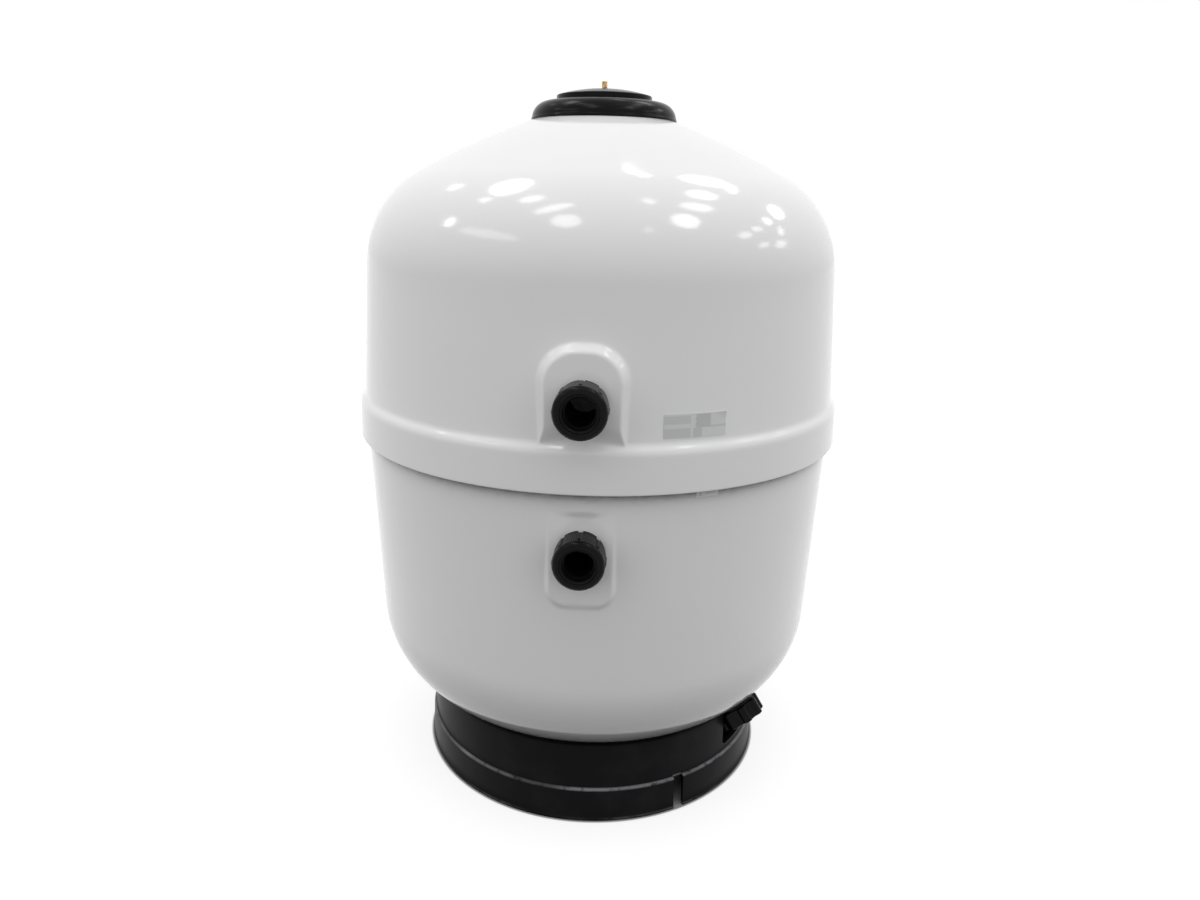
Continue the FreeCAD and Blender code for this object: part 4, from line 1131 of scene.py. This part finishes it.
@dataclass
class Stand:
    """The black stepped ring that the vessel stands on."""

    foot: float = 346.0
    foot_height: float = 6.0
    foot_round: float = 1.5
    foot_slope: float = 4.0
    lip: float = 0.6
    lower: float = 344.0
    lower_top: float = 342.5
    ledge: float = 66.0
    ledge_round: float = 5.0
    upper: float = 337.3
    rim_radius: float = 336.0
    rim_drop: float = 7.288
    rim_round: float = 5.0
    wall: float = 7.0
    seat_outer: float = 328.0
    seat_inner: float = 290.0
    seat_gap: float = 0.3
    seat_thickness: float = 6.0
    slot_azimuth: float = math.radians(31.8)
    slot_width: float = 21.0
    notch_azimuth: float = math.radians(60.0)
    notch_width: float = 88.0
    notch_floor: float = 78.0
    ribs: int = 8
    rib_width: float = 4.0

    def outline(self, vessel: "Vessel") -> np.ndarray:
        """The ring's section, whose seat follows the vessel's bottom."""
        rim = vessel.bottom_height(self.rim_radius, 0.0) - self.rim_drop
        under = -self.seat_gap - self.seat_thickness
        seat = [(radius, vessel.bottom_height(radius, -self.seat_gap))
                for radius in np.linspace(self.seat_outer, self.seat_inner, 7)]
        below = [(radius, vessel.bottom_height(radius, under))
                 for radius in np.linspace(self.seat_inner, self.rim_radius - self.wall, 7)]
        outer = profile([
            (self.foot - self.wall, 0.0),
            (self.foot - self.foot_round, 0.0, self.foot_round),
            (self.foot, self.foot_round),
            (self.foot, self.foot_height - self.foot_round, self.foot_round),
            (self.foot - self.lip, self.foot_height),
            (self.lower, self.foot_height + self.foot_slope),
            (self.lower_top, self.ledge - self.ledge_round, self.ledge_round),
            (self.lower_top - self.ledge_round + self.lip, self.ledge),
            (self.upper + self.lip, self.ledge, -2 * self.lip),
            (self.upper, self.ledge + 1.0),
            (self.rim_radius, rim - self.rim_round, self.rim_round),
            (self.rim_radius - self.rim_round, rim),
        ], 0.8)
        inner = [(self.rim_radius - self.wall, self.ledge - self.wall),
                 (self.lower_top - self.wall, self.ledge - self.wall - 3)]
        return np.vstack([outer, seat, below, inner])

    def rib(self, index: int, vessel: "Vessel") -> bpy.types.Object:
        """One web under the seat."""
        azimuth = index * FULL_TURN / self.ribs
        tangent = (math.cos(azimuth), math.sin(azimuth), 0.0)
        under = -self.seat_gap - self.seat_thickness + 1
        outer = self.rim_radius - self.wall + 1
        inner = self.seat_inner + 3
        corners = [(outer, self.ledge + 4), (outer, vessel.bottom_height(outer, under)),
                   (inner, vessel.bottom_height(inner, under))]
        outline = np.array([(-radius, height) for radius, height in corners])
        half = self.rib_width / 2
        return prism("base_rib", outline, Place((0.0, 0.0, 0.0), tangent), -half, half)

    def build(self, vessel: "Vessel") -> None:
        """Builds the ring with its slot, the drain's cut-out and the webs under its seat."""
        columns = azimuths([(31.8, 3.0, 0.25)], 1.0)
        ring = mesh_piece("base_ring_skin", turned(divided(self.outline(vessel), 12.0), columns))
        cuts = []
        for azimuth, width, bottom, top, corner, inner in (
                (self.slot_azimuth, self.slot_width, -30.0, self.ledge + 5, 2.0, self.lower - 10),
                (self.notch_azimuth, self.notch_width, self.notch_floor, 260.0, 10.0, self.seat_inner - 6)):
            outwards = Place((0.0, 0.0, 0.0), (math.sin(azimuth), -math.cos(azimuth), 0.0))
            outline = slot_outline(-width / 2, width / 2, bottom, top, corner)
            cuts.append(prism("base_cut", outline, outwards, inner, self.foot + 8))
        ring = cut_by(ring, cuts)
        ribs = [self.rib(index, vessel) for index in range(self.ribs)]
        settle(merged("base_ring_whole", [ring, *ribs]), "tank", Skin.BASE, "base_ring")


@dataclass
class Closure:
    """The neck's thread, the screw collar, the lid and the brass bleed on the axis."""

    neck_top: float = 1253.0
    neck_radius: float = 110.0
    neck_bore: float = 96.0
    neck_flange: float = 132.0
    flange_thickness: float = 7.0
    groove: tuple[float, float, float] = (98.8, 106.2, 2.4)
    nut_bore: float = 110.4
    nut_radius: float = 132.0
    nut_round: float = 29.5
    brow_radius: float = 101.0
    brow_rise: float = 13.6
    lip_rise: float = 16.8
    lip_round: float = 1.2
    skirt_gap: float = 1.5
    shoulder_drop: float = 12.0
    lid_gap: float = 0.2
    disc_radius: float = 87.5
    lid_radius: float = 86.0
    lid_bottom: float = 1254.7
    lid_flange: float = 107.5
    lid_flange_top: float = 1260.7
    lid_edge: float = 1278.0
    lid_dome: float = 308.0
    spigot: float = 95.5
    spigot_length: float = 8.0
    washer: float = 0.6
    skin: float = 7.0
    boss_radius: float = 16.0
    boss_bottom: float = 1264.0
    bush_hole: float = 8.05
    stem_radius: float = 4.85
    stem_top: float = 1303.0
    head_radius: float = 9.0
    head_bottom: float = 1255.0

    def neck(self, vessel: "Vessel") -> None:
        """The bonded insert whose thread stands out of the crown."""
        under = -vessel.wall - 0.1
        low = vessel.crown_height(self.neck_flange, under)
        inner, outer, depth = self.groove
        section = divided(np.array([
            (self.neck_bore, vessel.crown_height(self.neck_radius, under) - self.flange_thickness),
            (self.neck_flange, low - self.flange_thickness), (self.neck_flange, low),
            (self.neck_radius, vessel.crown_height(self.neck_radius, under)),
            (self.neck_radius, self.neck_top - CHAMFER), (self.neck_radius - CHAMFER, self.neck_top),
            (outer, self.neck_top), (outer, self.neck_top - depth),
            (inner, self.neck_top - depth), (inner, self.neck_top),
            (self.neck_bore + CHAMFER, self.neck_top), (self.neck_bore, self.neck_top - CHAMFER)]), 0.7)
        thread = Thread(vessel.crown_height(self.neck_radius, 0.0) + 0.5, self.neck_top - 1, NECK_PITCH, 1.6)
        grid = threaded(section, azimuths([], 1.5), thread, self.neck_radius)
        settle(mesh_piece("neck_ring_threaded", grid), "tank", Skin.FITTING, "neck_ring")

    def collar(self, vessel: "Vessel") -> None:
        """The screw collar: a skirt, a rounded brow and a lip over the lid, with its thread inside."""
        low = vessel.crown_height(self.nut_radius) + self.skirt_gap
        high = vessel.crown_height(self.nut_bore) + self.skirt_gap
        shoulder = self.neck_top - self.shoulder_drop
        lip = self.neck_top + self.lip_rise
        under_lip = self.lid_flange_top + self.lid_gap
        outside = profile([
            (self.nut_bore, high), (self.nut_radius - 1, low, 1.0), (self.nut_radius, low + 1),
            (self.nut_radius - 0.3, low + 2.2), (self.nut_radius - 1.5, shoulder, self.nut_round),
            (self.brow_radius, self.neck_top + self.brow_rise),
            (self.disc_radius + self.lip_round, lip, self.lip_round),
            (self.disc_radius, lip - self.lip_round), (self.disc_radius, under_lip),
            (self.nut_bore, under_lip)], 1.5)
        section = divided(outside, 2.5)
        bore = np.array([(self.nut_bore, self.lid_flange_top), (self.nut_bore, high)])
        inside = divided(bore, THREAD_STEP)[1:-1]
        section = np.vstack([section, inside])
        thread = Thread(high + 0.5, self.neck_top - 1, NECK_PITCH, 1.4)
        grid = threaded(section, azimuths([], 1.5), thread, -self.nut_bore)
        settle(mesh_piece("lid_nut_collar", grid), "lid_nut", Skin.GLOSS, "lid_nut")

    def dome_height(self, radius: float) -> float:
        """Height of the lid's dome at a radius."""
        edge = self.lid_radius - 2
        centre = self.lid_edge - math.sqrt(self.lid_dome ** 2 - edge ** 2)
        return centre + math.sqrt(self.lid_dome ** 2 - radius ** 2)

    def cover(self) -> None:
        """The lid: flange, raised disc with a domed top, spigot and the boss that holds the bush."""
        end = self.lid_bottom - self.spigot_length
        section = profile([
            (self.bush_hole, self.boss_bottom), (self.boss_radius, self.boss_bottom),
            (self.boss_radius, self.dome_height(self.boss_radius) - self.skin),
            (self.lid_radius - self.skin, self.lid_edge - self.skin),
            (self.spigot - self.skin, end), (self.spigot - 1, end, 1.0), (self.spigot, end + 1),
            (self.spigot, self.lid_bottom),
            (self.lid_flange, self.lid_bottom), (self.lid_flange, self.lid_flange_top),
            (self.lid_radius, self.lid_flange_top), (self.lid_radius, self.lid_edge - 2, 2.0),
            (self.lid_radius - 2, self.lid_edge, self.lid_dome),
            (self.boss_radius + 1.5, self.dome_height(self.boss_radius + 1.5)),
            (self.boss_radius, self.dome_height(self.boss_radius) + self.washer),
            (self.bush_hole, self.dome_height(self.bush_hole) + self.washer)], 1.5)
        grid = turned(divided(section, 4.0), azimuths([], 2.0))
        settle(mesh_piece("lid_domed", grid), "lid", Skin.GLOSS, "lid")

    def stem(self) -> None:
        """The bleed screw: a head inside and a threaded brass stem that ends in a small chamfer."""
        section = divided(np.array([
            (0.0, self.head_bottom), (self.head_radius - 0.5, self.head_bottom),
            (self.head_radius, self.head_bottom + 0.5), (self.head_radius, self.head_bottom + 4),
            (self.stem_radius, self.head_bottom + 4), (self.stem_radius, self.stem_top - CHAMFER),
            (self.stem_radius - CHAMFER, self.stem_top), (0.0, self.stem_top)]), 0.22)
        thread = Thread(self.head_bottom + 6, self.stem_top - 1, 1.5, 0.3)
        grid = threaded(section, azimuths([], 7.5), thread, self.stem_radius)
        settle(mesh_piece("bleed_stem", grid, close_rows=False), "bleed_screw", Skin.BRASS, "bleed_screw")

    def build(self, vessel: "Vessel") -> None:
        """Builds the four pieces."""
        self.neck(vessel)
        self.collar(vessel)
        self.cover()
        self.stem()


def tail_grid(front: float, back: float, flange: float, spigot: tuple[float, float],
              radius: float, reach: float, bores: list[Step], depth: float) -> np.ndarray:
    """Gives the surface of a flanged tail that comes through the wall, with its thread.

    Args:
        front: Height of the flange's front.
        back: Height of the flange's back.
        flange: Radius of the flange.
        spigot: Radius and length of the spigot behind the flange.
        radius: Radius of the threaded tail.
        reach: Height of the tail's end.
        bores: The bore's corners from the tail's end inwards. The first radius is also the mouth's,
            and the last one the spigot's.
        depth: Depth of the thread.

    Returns:
        The grid about the tail's own axis.
    """
    section = divided(np.array([
        (bores[-1][0], back - spigot[1]), (spigot[0], back - spigot[1]), (spigot[0], back),
        (flange, back), (flange, front), (radius, front), (radius, reach - CHAMFER),
        (radius - CHAMFER, reach), *bores]), THREAD_STEP)
    return threaded(section, azimuths([], 3.0), Thread(0.5, reach - 1, PIPE_PITCH, depth), radius)


@dataclass
class Union:
    """One port's threaded tail and its ribbed nut."""

    side: str
    place: Place
    tail_radius: float = 33.0
    tail_bore: float = 25.0
    pipe_bore: float = 22.3
    tail_reach: float = 30.0
    flange_front: float = -21.0
    flange_back: float = -31.0
    flange_radius: float = 46.0
    spigot_radius: float = 25.0
    spigot_length: float = 23.0
    nut_bore: float = 33.4
    nut_base: float = 12.6
    nut_radius: float = 40.6
    nut_front: float = 52.0
    nut_face: float = 34.5
    nut_shoulder: float = 8.0
    nut_round: float = 9.0
    nut_opening: float = 29.0
    nut_lip: float = 14.6
    grips: int = 8
    grip_radius: float = 4.0
    grip_proud: float = 1.4
    grip_top: float = 40.6
    ribs: int = 72
    rib_columns: int = 8
    mouth_round: float = 1.2
    rib_depth: float = 0.55

    def tail(self) -> None:
        """The flanged tail that comes through the wall, with its thread."""
        bores = [(self.tail_bore, self.tail_reach), (self.tail_bore, self.flange_back + 4),
                 (self.pipe_bore, self.flange_back)]
        grid = tail_grid(self.flange_front, self.flange_back, self.flange_radius,
                         (self.spigot_radius, self.spigot_length), self.tail_radius, self.tail_reach,
                         bores, 1.3)
        settle(mesh_piece(self.side + "_tail_threaded", self.place.put(grid)), "tank", Skin.FITTING,
               self.side + "_bulkhead")

    def nut(self) -> None:
        """The nut: eight half-round grips over fine ribs, a rounded shoulder and a thread inside.

        A grip stands out by the circle of its radius about a point just under the nut's surface. A fine
        rib is a straight-sided tooth of the azimuth. The grips fade out below the shoulder, and the ribs
        where it starts.
        """
        outside = profile([
            (self.nut_bore, self.nut_base), (self.nut_radius - 1, self.nut_base, 1.0),
            (self.nut_radius, self.nut_base + 1),
            (self.nut_radius, self.nut_front - self.nut_shoulder, self.nut_round),
            (self.nut_face, self.nut_front),
            (self.nut_opening + self.mouth_round, self.nut_front, self.mouth_round),
            (self.nut_opening, self.nut_front - self.mouth_round),
            (self.nut_opening, self.nut_front - self.nut_lip),
            (self.nut_bore, self.nut_front - self.nut_lip)], 1.2)
        inside = divided(np.array([(self.nut_bore, self.nut_front - self.nut_lip),
                                   (self.nut_bore, self.nut_base)]), THREAD_STEP)[1:-1]
        points = np.vstack([divided(outside, 1.6), inside])
        columns = azimuths([], 360.0 / (self.ribs * self.rib_columns))
        thread = Thread(self.nut_base + 1, self.nut_front - self.nut_lip - 1, PIPE_PITCH, 1.2)
        grid = threaded(points, columns, thread, -self.nut_bore)
        height = grid[..., 2]
        outer = points[:, :1] > self.nut_radius - 2.5
        centre = self.nut_radius + self.grip_proud - self.grip_radius
        pitch = FULL_TURN / self.grips
        off = centre * np.sin((columns + pitch / 2) % pitch - pitch / 2)
        bulge = np.sqrt(np.maximum(self.grip_radius ** 2 - off ** 2, 0.0))
        grip = np.where(np.abs(off) < self.grip_radius, centre + bulge - self.nut_radius, 0.0)
        tooth = np.abs(2 * ((columns * self.ribs / FULL_TURN) % 1.0) - 1)
        reach = 1 - smooth_step(height, self.grip_top - 2, self.grip_top + 2)
        foot = smooth_step(height, self.nut_base, self.nut_base + 1.5)
        fine = -self.rib_depth * tooth * (1 - smooth_step(height, self.nut_front - 9, self.nut_front - 5))
        relief = outer * foot * (np.maximum(grip, 0.0) * reach + fine)
        grid = grid + relief[..., None] * spun(1.0, columns, 0.0)
        piece = mesh_piece(self.side + "_nut_ribbed", self.place.put(grid), sharp=50.0)
        settle(piece, self.side + "_union_nut", Skin.GLOSS, self.side + "_union_nut")

    def build(self) -> None:
        """Builds the tail and the nut."""
        self.tail()
        self.nut()


@dataclass
class Drain:
    """The drain's threaded tail and its lobed cap."""

    place: Place
    bore: float = 19.0
    tail_radius: float = 24.0
    tail_reach: float = 26.0
    flange_front: float = -16.0
    flange_back: float = -25.0
    flange_radius: float = 37.0
    spigot_radius: float = 22.0
    spigot_length: float = 12.0
    cap_bore: float = 24.4
    cap_start: float = 10.6
    cap_end: float = 42.0
    cap_floor: float = 28.2
    core: float = 39.0
    lobe_radius: float = 9.5
    lobe_centre: float = 36.5
    lobes: int = 8
    edge: float = 2.0
    recess_radius: float = 26.0
    recess_depth: float = 7.0
    recess_round: float = 1.5

    def tail(self) -> None:
        """The flanged tail with the cap's thread."""
        grid = tail_grid(self.flange_front, self.flange_back, self.flange_radius,
                         (self.spigot_radius, self.spigot_length), self.tail_radius, self.tail_reach,
                         [(self.bore, self.tail_reach)], 1.2)
        settle(mesh_piece("drain_tail_threaded", self.place.put(grid)), "tank", Skin.FITTING, "drain_body")

    def cap(self) -> None:
        """The cap: eight round lobes on a core, a dished front and a thread inside.

        At an azimuth t off a lobe's middle the lobe reaches c cos t + sqrt(r^2 - (c sin t)^2), and the
        skin is the larger of that and the core with a fillet between. Both ends draw in by a quarter
        round.
        """
        outside = divided(np.array([
            (self.core, self.cap_start), (self.core, self.cap_end)]), 0.8)
        columns = azimuths([], 0.9)
        pitch = FULL_TURN / self.lobes
        off = (columns + pitch / 2) % pitch - pitch / 2
        side = self.lobe_centre * np.sin(off)
        lobe = np.where(np.abs(side) < self.lobe_radius,
                        self.lobe_centre * np.cos(off)
                        + np.sqrt(np.maximum(self.lobe_radius ** 2 - side ** 2, 0.0)), 0.0)
        reach = soft_max(np.full_like(lobe, self.core), lobe, 1.5)
        end = np.minimum(outside[:, 1:] - self.cap_start, self.cap_end - outside[:, 1:])
        inset = self.edge - np.sqrt(self.edge ** 2 - np.maximum(self.edge - end, 0.0) ** 2)
        wide = reach - inset
        skin = spun(wide, columns, outside[:, 1:])
        floor = self.cap_end - self.recess_depth
        bend = self.recess_round
        front = turned(profile([
            (self.recess_radius + bend, self.cap_end, bend), (self.recess_radius, self.cap_end - bend),
            (self.recess_radius - bend, floor + bend, -bend), (self.recess_radius - 2 * bend, floor),
            (0.0, floor)], 0.7), columns)
        hollow = divided(np.array([(0.0, self.cap_floor), (self.cap_bore, self.cap_floor),
                                   (self.cap_bore, self.cap_start)]), THREAD_STEP)
        thread = Thread(self.cap_start + 1, self.cap_floor - 1, PIPE_PITCH, 1.2)
        inside = threaded(hollow, columns, thread, -self.cap_bore)
        grid = np.vstack([skin, front, inside])
        piece = mesh_piece("drain_cap_lobed", self.place.put(grid), sharp=45.0)
        settle(piece, "drain_cap", Skin.GLOSS, "drain_cap")

    def build(self) -> None:
        """Builds the tail and the cap."""
        self.tail()
        self.cap()


@dataclass
class Plate:
    """A thin bare label plate that lies on the wall."""

    name: str
    azimuth: float
    width: float
    bottom: float
    top: float
    radius: float
    lean: float
    thickness: float = 0.5
    gap: float = 0.05
    lift: float = 0.0
    fields: tuple[tuple[float, ...], ...] = ()

    def build(self) -> None:
        """Builds the plate as a closed sheet.

        A cross-section runs out along the front and back along the wall. The first and last rows lie
        at the middle of the thickness, so the sheet closes there. The right top corner may stand off.
        """
        count = 81
        half = self.width / 2 / self.radius
        ahead = np.linspace(-half, half, count)
        across = np.concatenate([ahead, ahead[::-1]])
        out = np.concatenate([np.full(count, self.thickness), np.full(count, self.gap)])
        heights = np.concatenate([[self.bottom], np.linspace(self.bottom, self.top, 41), [self.top]])
        out = np.broadcast_to(out, (len(heights), 2 * count)).copy()
        out[[0, -1]] = self.thickness / 2
        share = np.clip((across / half - 0.55) / 0.45, 0.0, 1.0)[None] * np.clip(
            (heights - self.top + 14) / 14, 0.0, 1.0)[:, None]
        radius = self.radius + self.lean * (heights - self.bottom)[:, None] + out + self.lift * share ** 2
        azimuth = self.azimuth + across
        grid = spun(radius, azimuth, heights[:, None])
        piece = mesh_piece(self.name, grid, close_rows=False, sharp=60.0)
        self.mark_fields(piece)
        settle(piece, "tank", Skin.LABEL)

    def mark_fields(self, piece: bpy.types.Object) -> None:
        """Writes the attribute that tells the darker fields: rectangles of the width and the height."""
        x, y, z = (vertex_rows(piece, "co") / MM).T
        along = (np.arctan2(x, -y) - self.azimuth) * self.radius / self.width + 0.5
        high = (z - self.bottom) / (self.top - self.bottom)
        value = np.zeros(len(along))
        for left, right, low, top, tone in self.fields:
            value = np.where((along > left) & (along < right) & (high > low) & (high < top), tone, value)
        write_values(piece, "field", value)


NODE_SKINS = {
    Skin.ADHESIVE: ["bond_seam"],
    Skin.FITTING: ["upper_lock_nut", "lower_lock_nut", "upper_union_end", "lower_union_end", "drain_lock_nut",
                   "drain_strainer"],
    Skin.PIPE: ["inlet_elbow", "inlet_riser", "inlet_diffuser", "outlet_pipe", "outlet_elbow", "outlet_riser",
                "collector_hub"] + [f"lateral_{index}" for index in range(1, 9)],
    Skin.RUBBER: ["lid_seal", "bleed_seal", "upper_gasket", "lower_gasket", "upper_union_seal",
                  "lower_union_seal", "drain_gasket", "drain_cap_seal"],
    Skin.BRASS: ["bleed_bush"],
}


def dress_nodes() -> None:
    """Gives every CAD node that stays its material."""
    for skin, names in NODE_SKINS.items():
        for name in names:
            dress(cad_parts[name], skin)


@dataclass
class Studio:
    """Camera, floor, lamps and the plain surroundings."""

    distance: float = 1.667
    side: float = math.radians(3.0)
    height: float = 1.1086
    pitch: float = math.radians(16.6)
    yaw: float = math.radians(0.18)
    roll: float = math.radians(1.2)
    lens: float = 25.74
    sky: float = 0.53
    sky_rise: float = 0.63
    sky_flank: float = 0.85
    floor_seen: float = 0.36
    floor_glow: float = 0.72
    floor_bounce: float = 0.03
    glare: float = 5.0
    # Radii in metres over which the floor's glow fades in, leaving painted shade inside the stand's ring and
    # a thin painted shadow round its foot
    shade_inner: float = 0.347
    shade_outer: float = 0.352

    @staticmethod
    def tilted(first: np.ndarray, second: np.ndarray, angle: float) -> tuple[np.ndarray, np.ndarray]:
        """Turns two directions in their own plane, the first towards the second."""
        return (math.cos(angle) * first + math.sin(angle) * second,
                math.cos(angle) * second - math.sin(angle) * first)

    def camera(self) -> None:
        """Sets the camera at the photograph's place and angle."""
        data = bpy.data.cameras.new("camera")
        data.lens = self.lens
        data.sensor_width = 36.0
        data.clip_end = 200.0
        camera = linked("camera", data)
        ahead = np.array([-math.sin(self.side), math.cos(self.side), 0.0])
        right = np.array([math.cos(self.side), math.sin(self.side), 0.0])
        up = np.array([0.0, 0.0, 1.0])
        ahead, right = self.tilted(ahead, right, self.yaw)
        ahead, up = self.tilted(ahead, up, -self.pitch)
        right, up = self.tilted(right, up, self.roll)
        turn = Matrix(np.stack([right, up, -ahead], axis=-1).tolist()).to_4x4()
        turn.translation = Vector((self.distance * math.sin(self.side), -self.distance * math.cos(self.side),
                                   self.height))
        camera.matrix_world = turn
        bpy.context.scene.camera = camera

    def world(self) -> None:
        """Soft light, stronger from above and from both sides, and white where it is looked at.

        For the direction (x, y, z) the light is base + rise max(z, 0) + flank x^2.
        """
        world = bpy.data.worlds.new("studio")
        bpy.context.scene.world = world
        nodes = NodeSet.cleared(world)
        place = nodes.node("ShaderNodeTexCoord", {}, {}, "Generated")
        sideways, height = (nodes.part(place, axis) for axis in "XZ")
        light = self.sky + height.clipped() * self.sky_rise + sideways * sideways * self.sky_flank
        seen = self.seen(nodes)
        strength = light * (1.0 - seen) + seen
        nodes.finish("ShaderNodeOutputWorld", nodes.node(
            "ShaderNodeBackground", {}, {"Color": (1.0, 1.0, 1.0, 1.0), "Strength": strength}))

    def seen(self, nodes: NodeSet) -> Signal:
        """1 where the camera, a reflection or a refraction looks."""
        rays = [nodes.node("ShaderNodeLightPath", {}, {}, output)
                for output in ("Is Camera Ray", "Is Glossy Ray", "Is Transmission Ray")]
        return (rays[0] + rays[1] + rays[2]).clipped()

    def floor(self) -> None:
        """A plain pale floor that gives little light back, with its glow left out inside the stand's ring as
        painted shade.
        """
        edge = 30.0
        mesh = bpy.data.meshes.new("floor")
        mesh.from_pydata([(-edge, -edge, 0.0), (edge, -edge, 0.0), (edge, edge, 0.0), (-edge, edge, 0.0)],
                         [], [(0, 1, 2, 3)])
        floor = linked("floor", mesh)
        material = bpy.data.materials.new("studio_floor")
        nodes = NodeSet.cleared(material)
        seen = self.seen(nodes)
        across, along = (nodes.part(nodes.place(), axis) for axis in "XY")
        # Painted shade: no glow inside the stand's ring, fading in just outside its foot
        outside = (across * across + along * along).between(self.shade_inner ** 2, self.shade_outer ** 2)
        colour = nodes.mixed(seen, (self.floor_bounce,) * 3, (self.floor_seen,) * 3)
        surface = nodes.node("ShaderNodeBsdfPrincipled", {}, {
            "Base Color": colour, "Roughness": 1.0, "Specular IOR Level": 0.0,
            "Emission Color": nodes.mixed(seen * outside, (0.0,) * 3, (self.floor_glow,) * 3),
            "Emission Strength": 1.0})
        nodes.finish("ShaderNodeOutputMaterial", surface)
        mesh.materials.append(material)

    def lamp(self, glow: "Glow") -> None:
        """Adds a lamp that nothing but the light and the reflections show.

        Its power is glow * pi * area, which gives its face the brightness glow.

        Args:
            glow: The lamp's place, target, size, turn and brightness.
        """
        data = bpy.data.lights.new(glow.name, "AREA")
        data.shape = "ELLIPSE" if glow.oval else "RECTANGLE"
        data.size = glow.width
        data.size_y = glow.depth
        area = glow.width * glow.depth * (math.pi / 4 if glow.oval else 1.0)
        data.energy = glow.brightness * self.glare * math.pi * area
        lamp = linked(glow.name, data)
        lamp.location = Vector(glow.place)
        aim = (Vector(glow.target) - Vector(glow.place)).to_track_quat("-Z", "Y").to_matrix()
        lamp.rotation_euler = (aim @ Matrix.Rotation(math.radians(glow.turn), 3, "Z")).to_euler()
        lamp.visible_camera = False
        lamp.visible_diffuse = False

    def build(self) -> None:
        """Sets the whole scene round the filter."""
        self.camera()
        self.world()
        self.floor()
        for glow in GLOWS:
            self.lamp(glow)


@dataclass(frozen=True)
class Glow:
    """A small soft lamp whose reflection on the white dome is one of the photograph's bright spots."""

    name: str
    place: Triple
    target: Triple
    width: float
    depth: float
    turn: float
    brightness: float
    oval: bool = True


GLOWS = (
    Glow("left_oval", (-1.45, 0.35, 3.94), (-0.119, -0.350, 1.116), 0.68, 1.05, 83, 1.6),
    Glow("left_small", (-2.01, -0.13, 3.69), (-0.155, -0.355, 1.097), 0.26, 0.29, 54, 1.2),
    Glow("left_far", (-2.06, 1.13, 3.30), (-0.210, -0.306, 1.115), 0.29, 0.32, 65, 1.0),
    Glow("left_streak", (-1.25, -0.61, 4.07), (-0.083, -0.376, 1.100), 0.53, 0.37, 99, 1.2),
    Glow("left_streak_low", (-0.92, -1.28, 4.04), (-0.050, -0.391, 1.088), 0.94, 0.35, 69, 1.2),
    Glow("left_front", (-0.68, -2.00, 3.76), (-0.030, -0.404, 1.071), 0.68, 0.73, 27, 1.2),
    Glow("left_corner", (-2.81, -0.42, 2.92), (-0.209, -0.352, 1.064), 0.34, 0.42, 31, 1.6),
    Glow("left_long", (-2.37, -1.69, 2.94), (-0.145, -0.390, 1.050), 1.81, 0.38, 5, 0.5),
    Glow("right_back", (0.36, 1.28, 3.89), (0.069, -0.331, 1.140), 0.19, 0.71, -140, 1.3),
    Glow("right_mid", (0.90, -0.67, 4.18), (0.087, -0.374, 1.101), 0.24, 0.38, -44, 1.0),
    Glow("right_stripe_back", (1.24, 1.29, 3.69), (0.170, -0.308, 1.131), 0.75, 0.65, -164, 1.3),
    Glow("right_dot", (1.69, 1.19, 3.53), (0.210, -0.298, 1.120), 0.22, 0.57, -100, 1.3),
    Glow("right_stripe_mid", (1.58, 0.34, 3.90), (0.165, -0.337, 1.110), 0.60, 0.53, -91, 1.3),
    Glow("right_stripe_front", (1.76, -0.43, 3.86), (0.157, -0.357, 1.093), 0.71, 0.47, -64, 1.2),
    Glow("right_oval", (1.81, -1.30, 3.65), (0.141, -0.378, 1.074), 0.67, 0.76, -23, 1.6),
    Glow("right_window", (2.53, 1.15, 2.86), (0.284, -0.274, 1.088), 0.42, 0.56, -70, 1.6),
    Glow("right_pane_a", (2.76, 0.53, 2.90), (0.267, -0.302, 1.075), 0.29, 0.31, -83, 1.3),
    Glow("right_pane_b", (2.88, -0.59, 2.83), (0.231, -0.344, 1.055), 0.47, 0.26, -10, 1.0),
    Glow("right_pane_c", (2.88, -0.06, 2.87), (0.250, -0.324, 1.063), 0.37, 0.22, -21, 0.9),
    Glow("right_pane_d", (3.18, -0.30, 2.35), (0.262, -0.328, 1.040), 0.43, 0.19, 1, 0.9),
    Glow("right_pane_e", (2.98, 0.65, 2.51), (0.291, -0.291, 1.060), 0.19, 0.37, -51, 0.9),
    Glow("right_pane_f", (3.21, 0.32, 2.20), (0.291, -0.302, 1.041), 0.47, 0.27, -4, 0.8),
    Glow("front_dot", (1.18, -2.15, 3.51), (0.088, -0.401, 1.061), 0.19, 0.32, -9, 0.7),
)

LABELS = (
    Plate("label_plate", math.radians(22.35), 103.0, 759.5, 797.0, 445.5, -0.0617, lift=2.2, fields=(
        (0.0, 0.42, 0.05, 0.42, 0.7), (0.0, 0.42, 0.6, 0.92, 0.6), (0.5, 0.74, 0.42, 0.97, 1.0),
        (0.46, 0.6, 0.05, 0.42, 0.8), (0.74, 1.0, 0.4, 0.48, 0.6))),
    Plate("seam_tag", math.radians(25.8), 38.0, 662.0, 672.0, 443.6, 0.0384, fields=(
        (0.1, 0.25, 0.2, 0.8, 1.0), (0.4, 0.9, 0.45, 0.8, 0.8))),
)


def main() -> None:
    """Builds the filter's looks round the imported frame."""
    logging.basicConfig(level=logging.INFO, format="%(name)s: %(message)s")
    bpy.context.scene.view_settings.view_transform = "Standard"
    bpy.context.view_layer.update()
    Studio().build()
    dress_nodes()
    vessel = Vessel()
    vessel.build()
    Stand().build(vessel)
    Closure().build(vessel)
    Union("upper", vessel.port(vessel.upper_boss, vessel.port_height + vessel.port_spacing)).build()
    Union("lower", vessel.port(vessel.lower_boss, vessel.port_height)).build()
    Drain(vessel.drain).build()
    for plate in LABELS:
        plate.build()


if __name__ == "__main__":
    main()
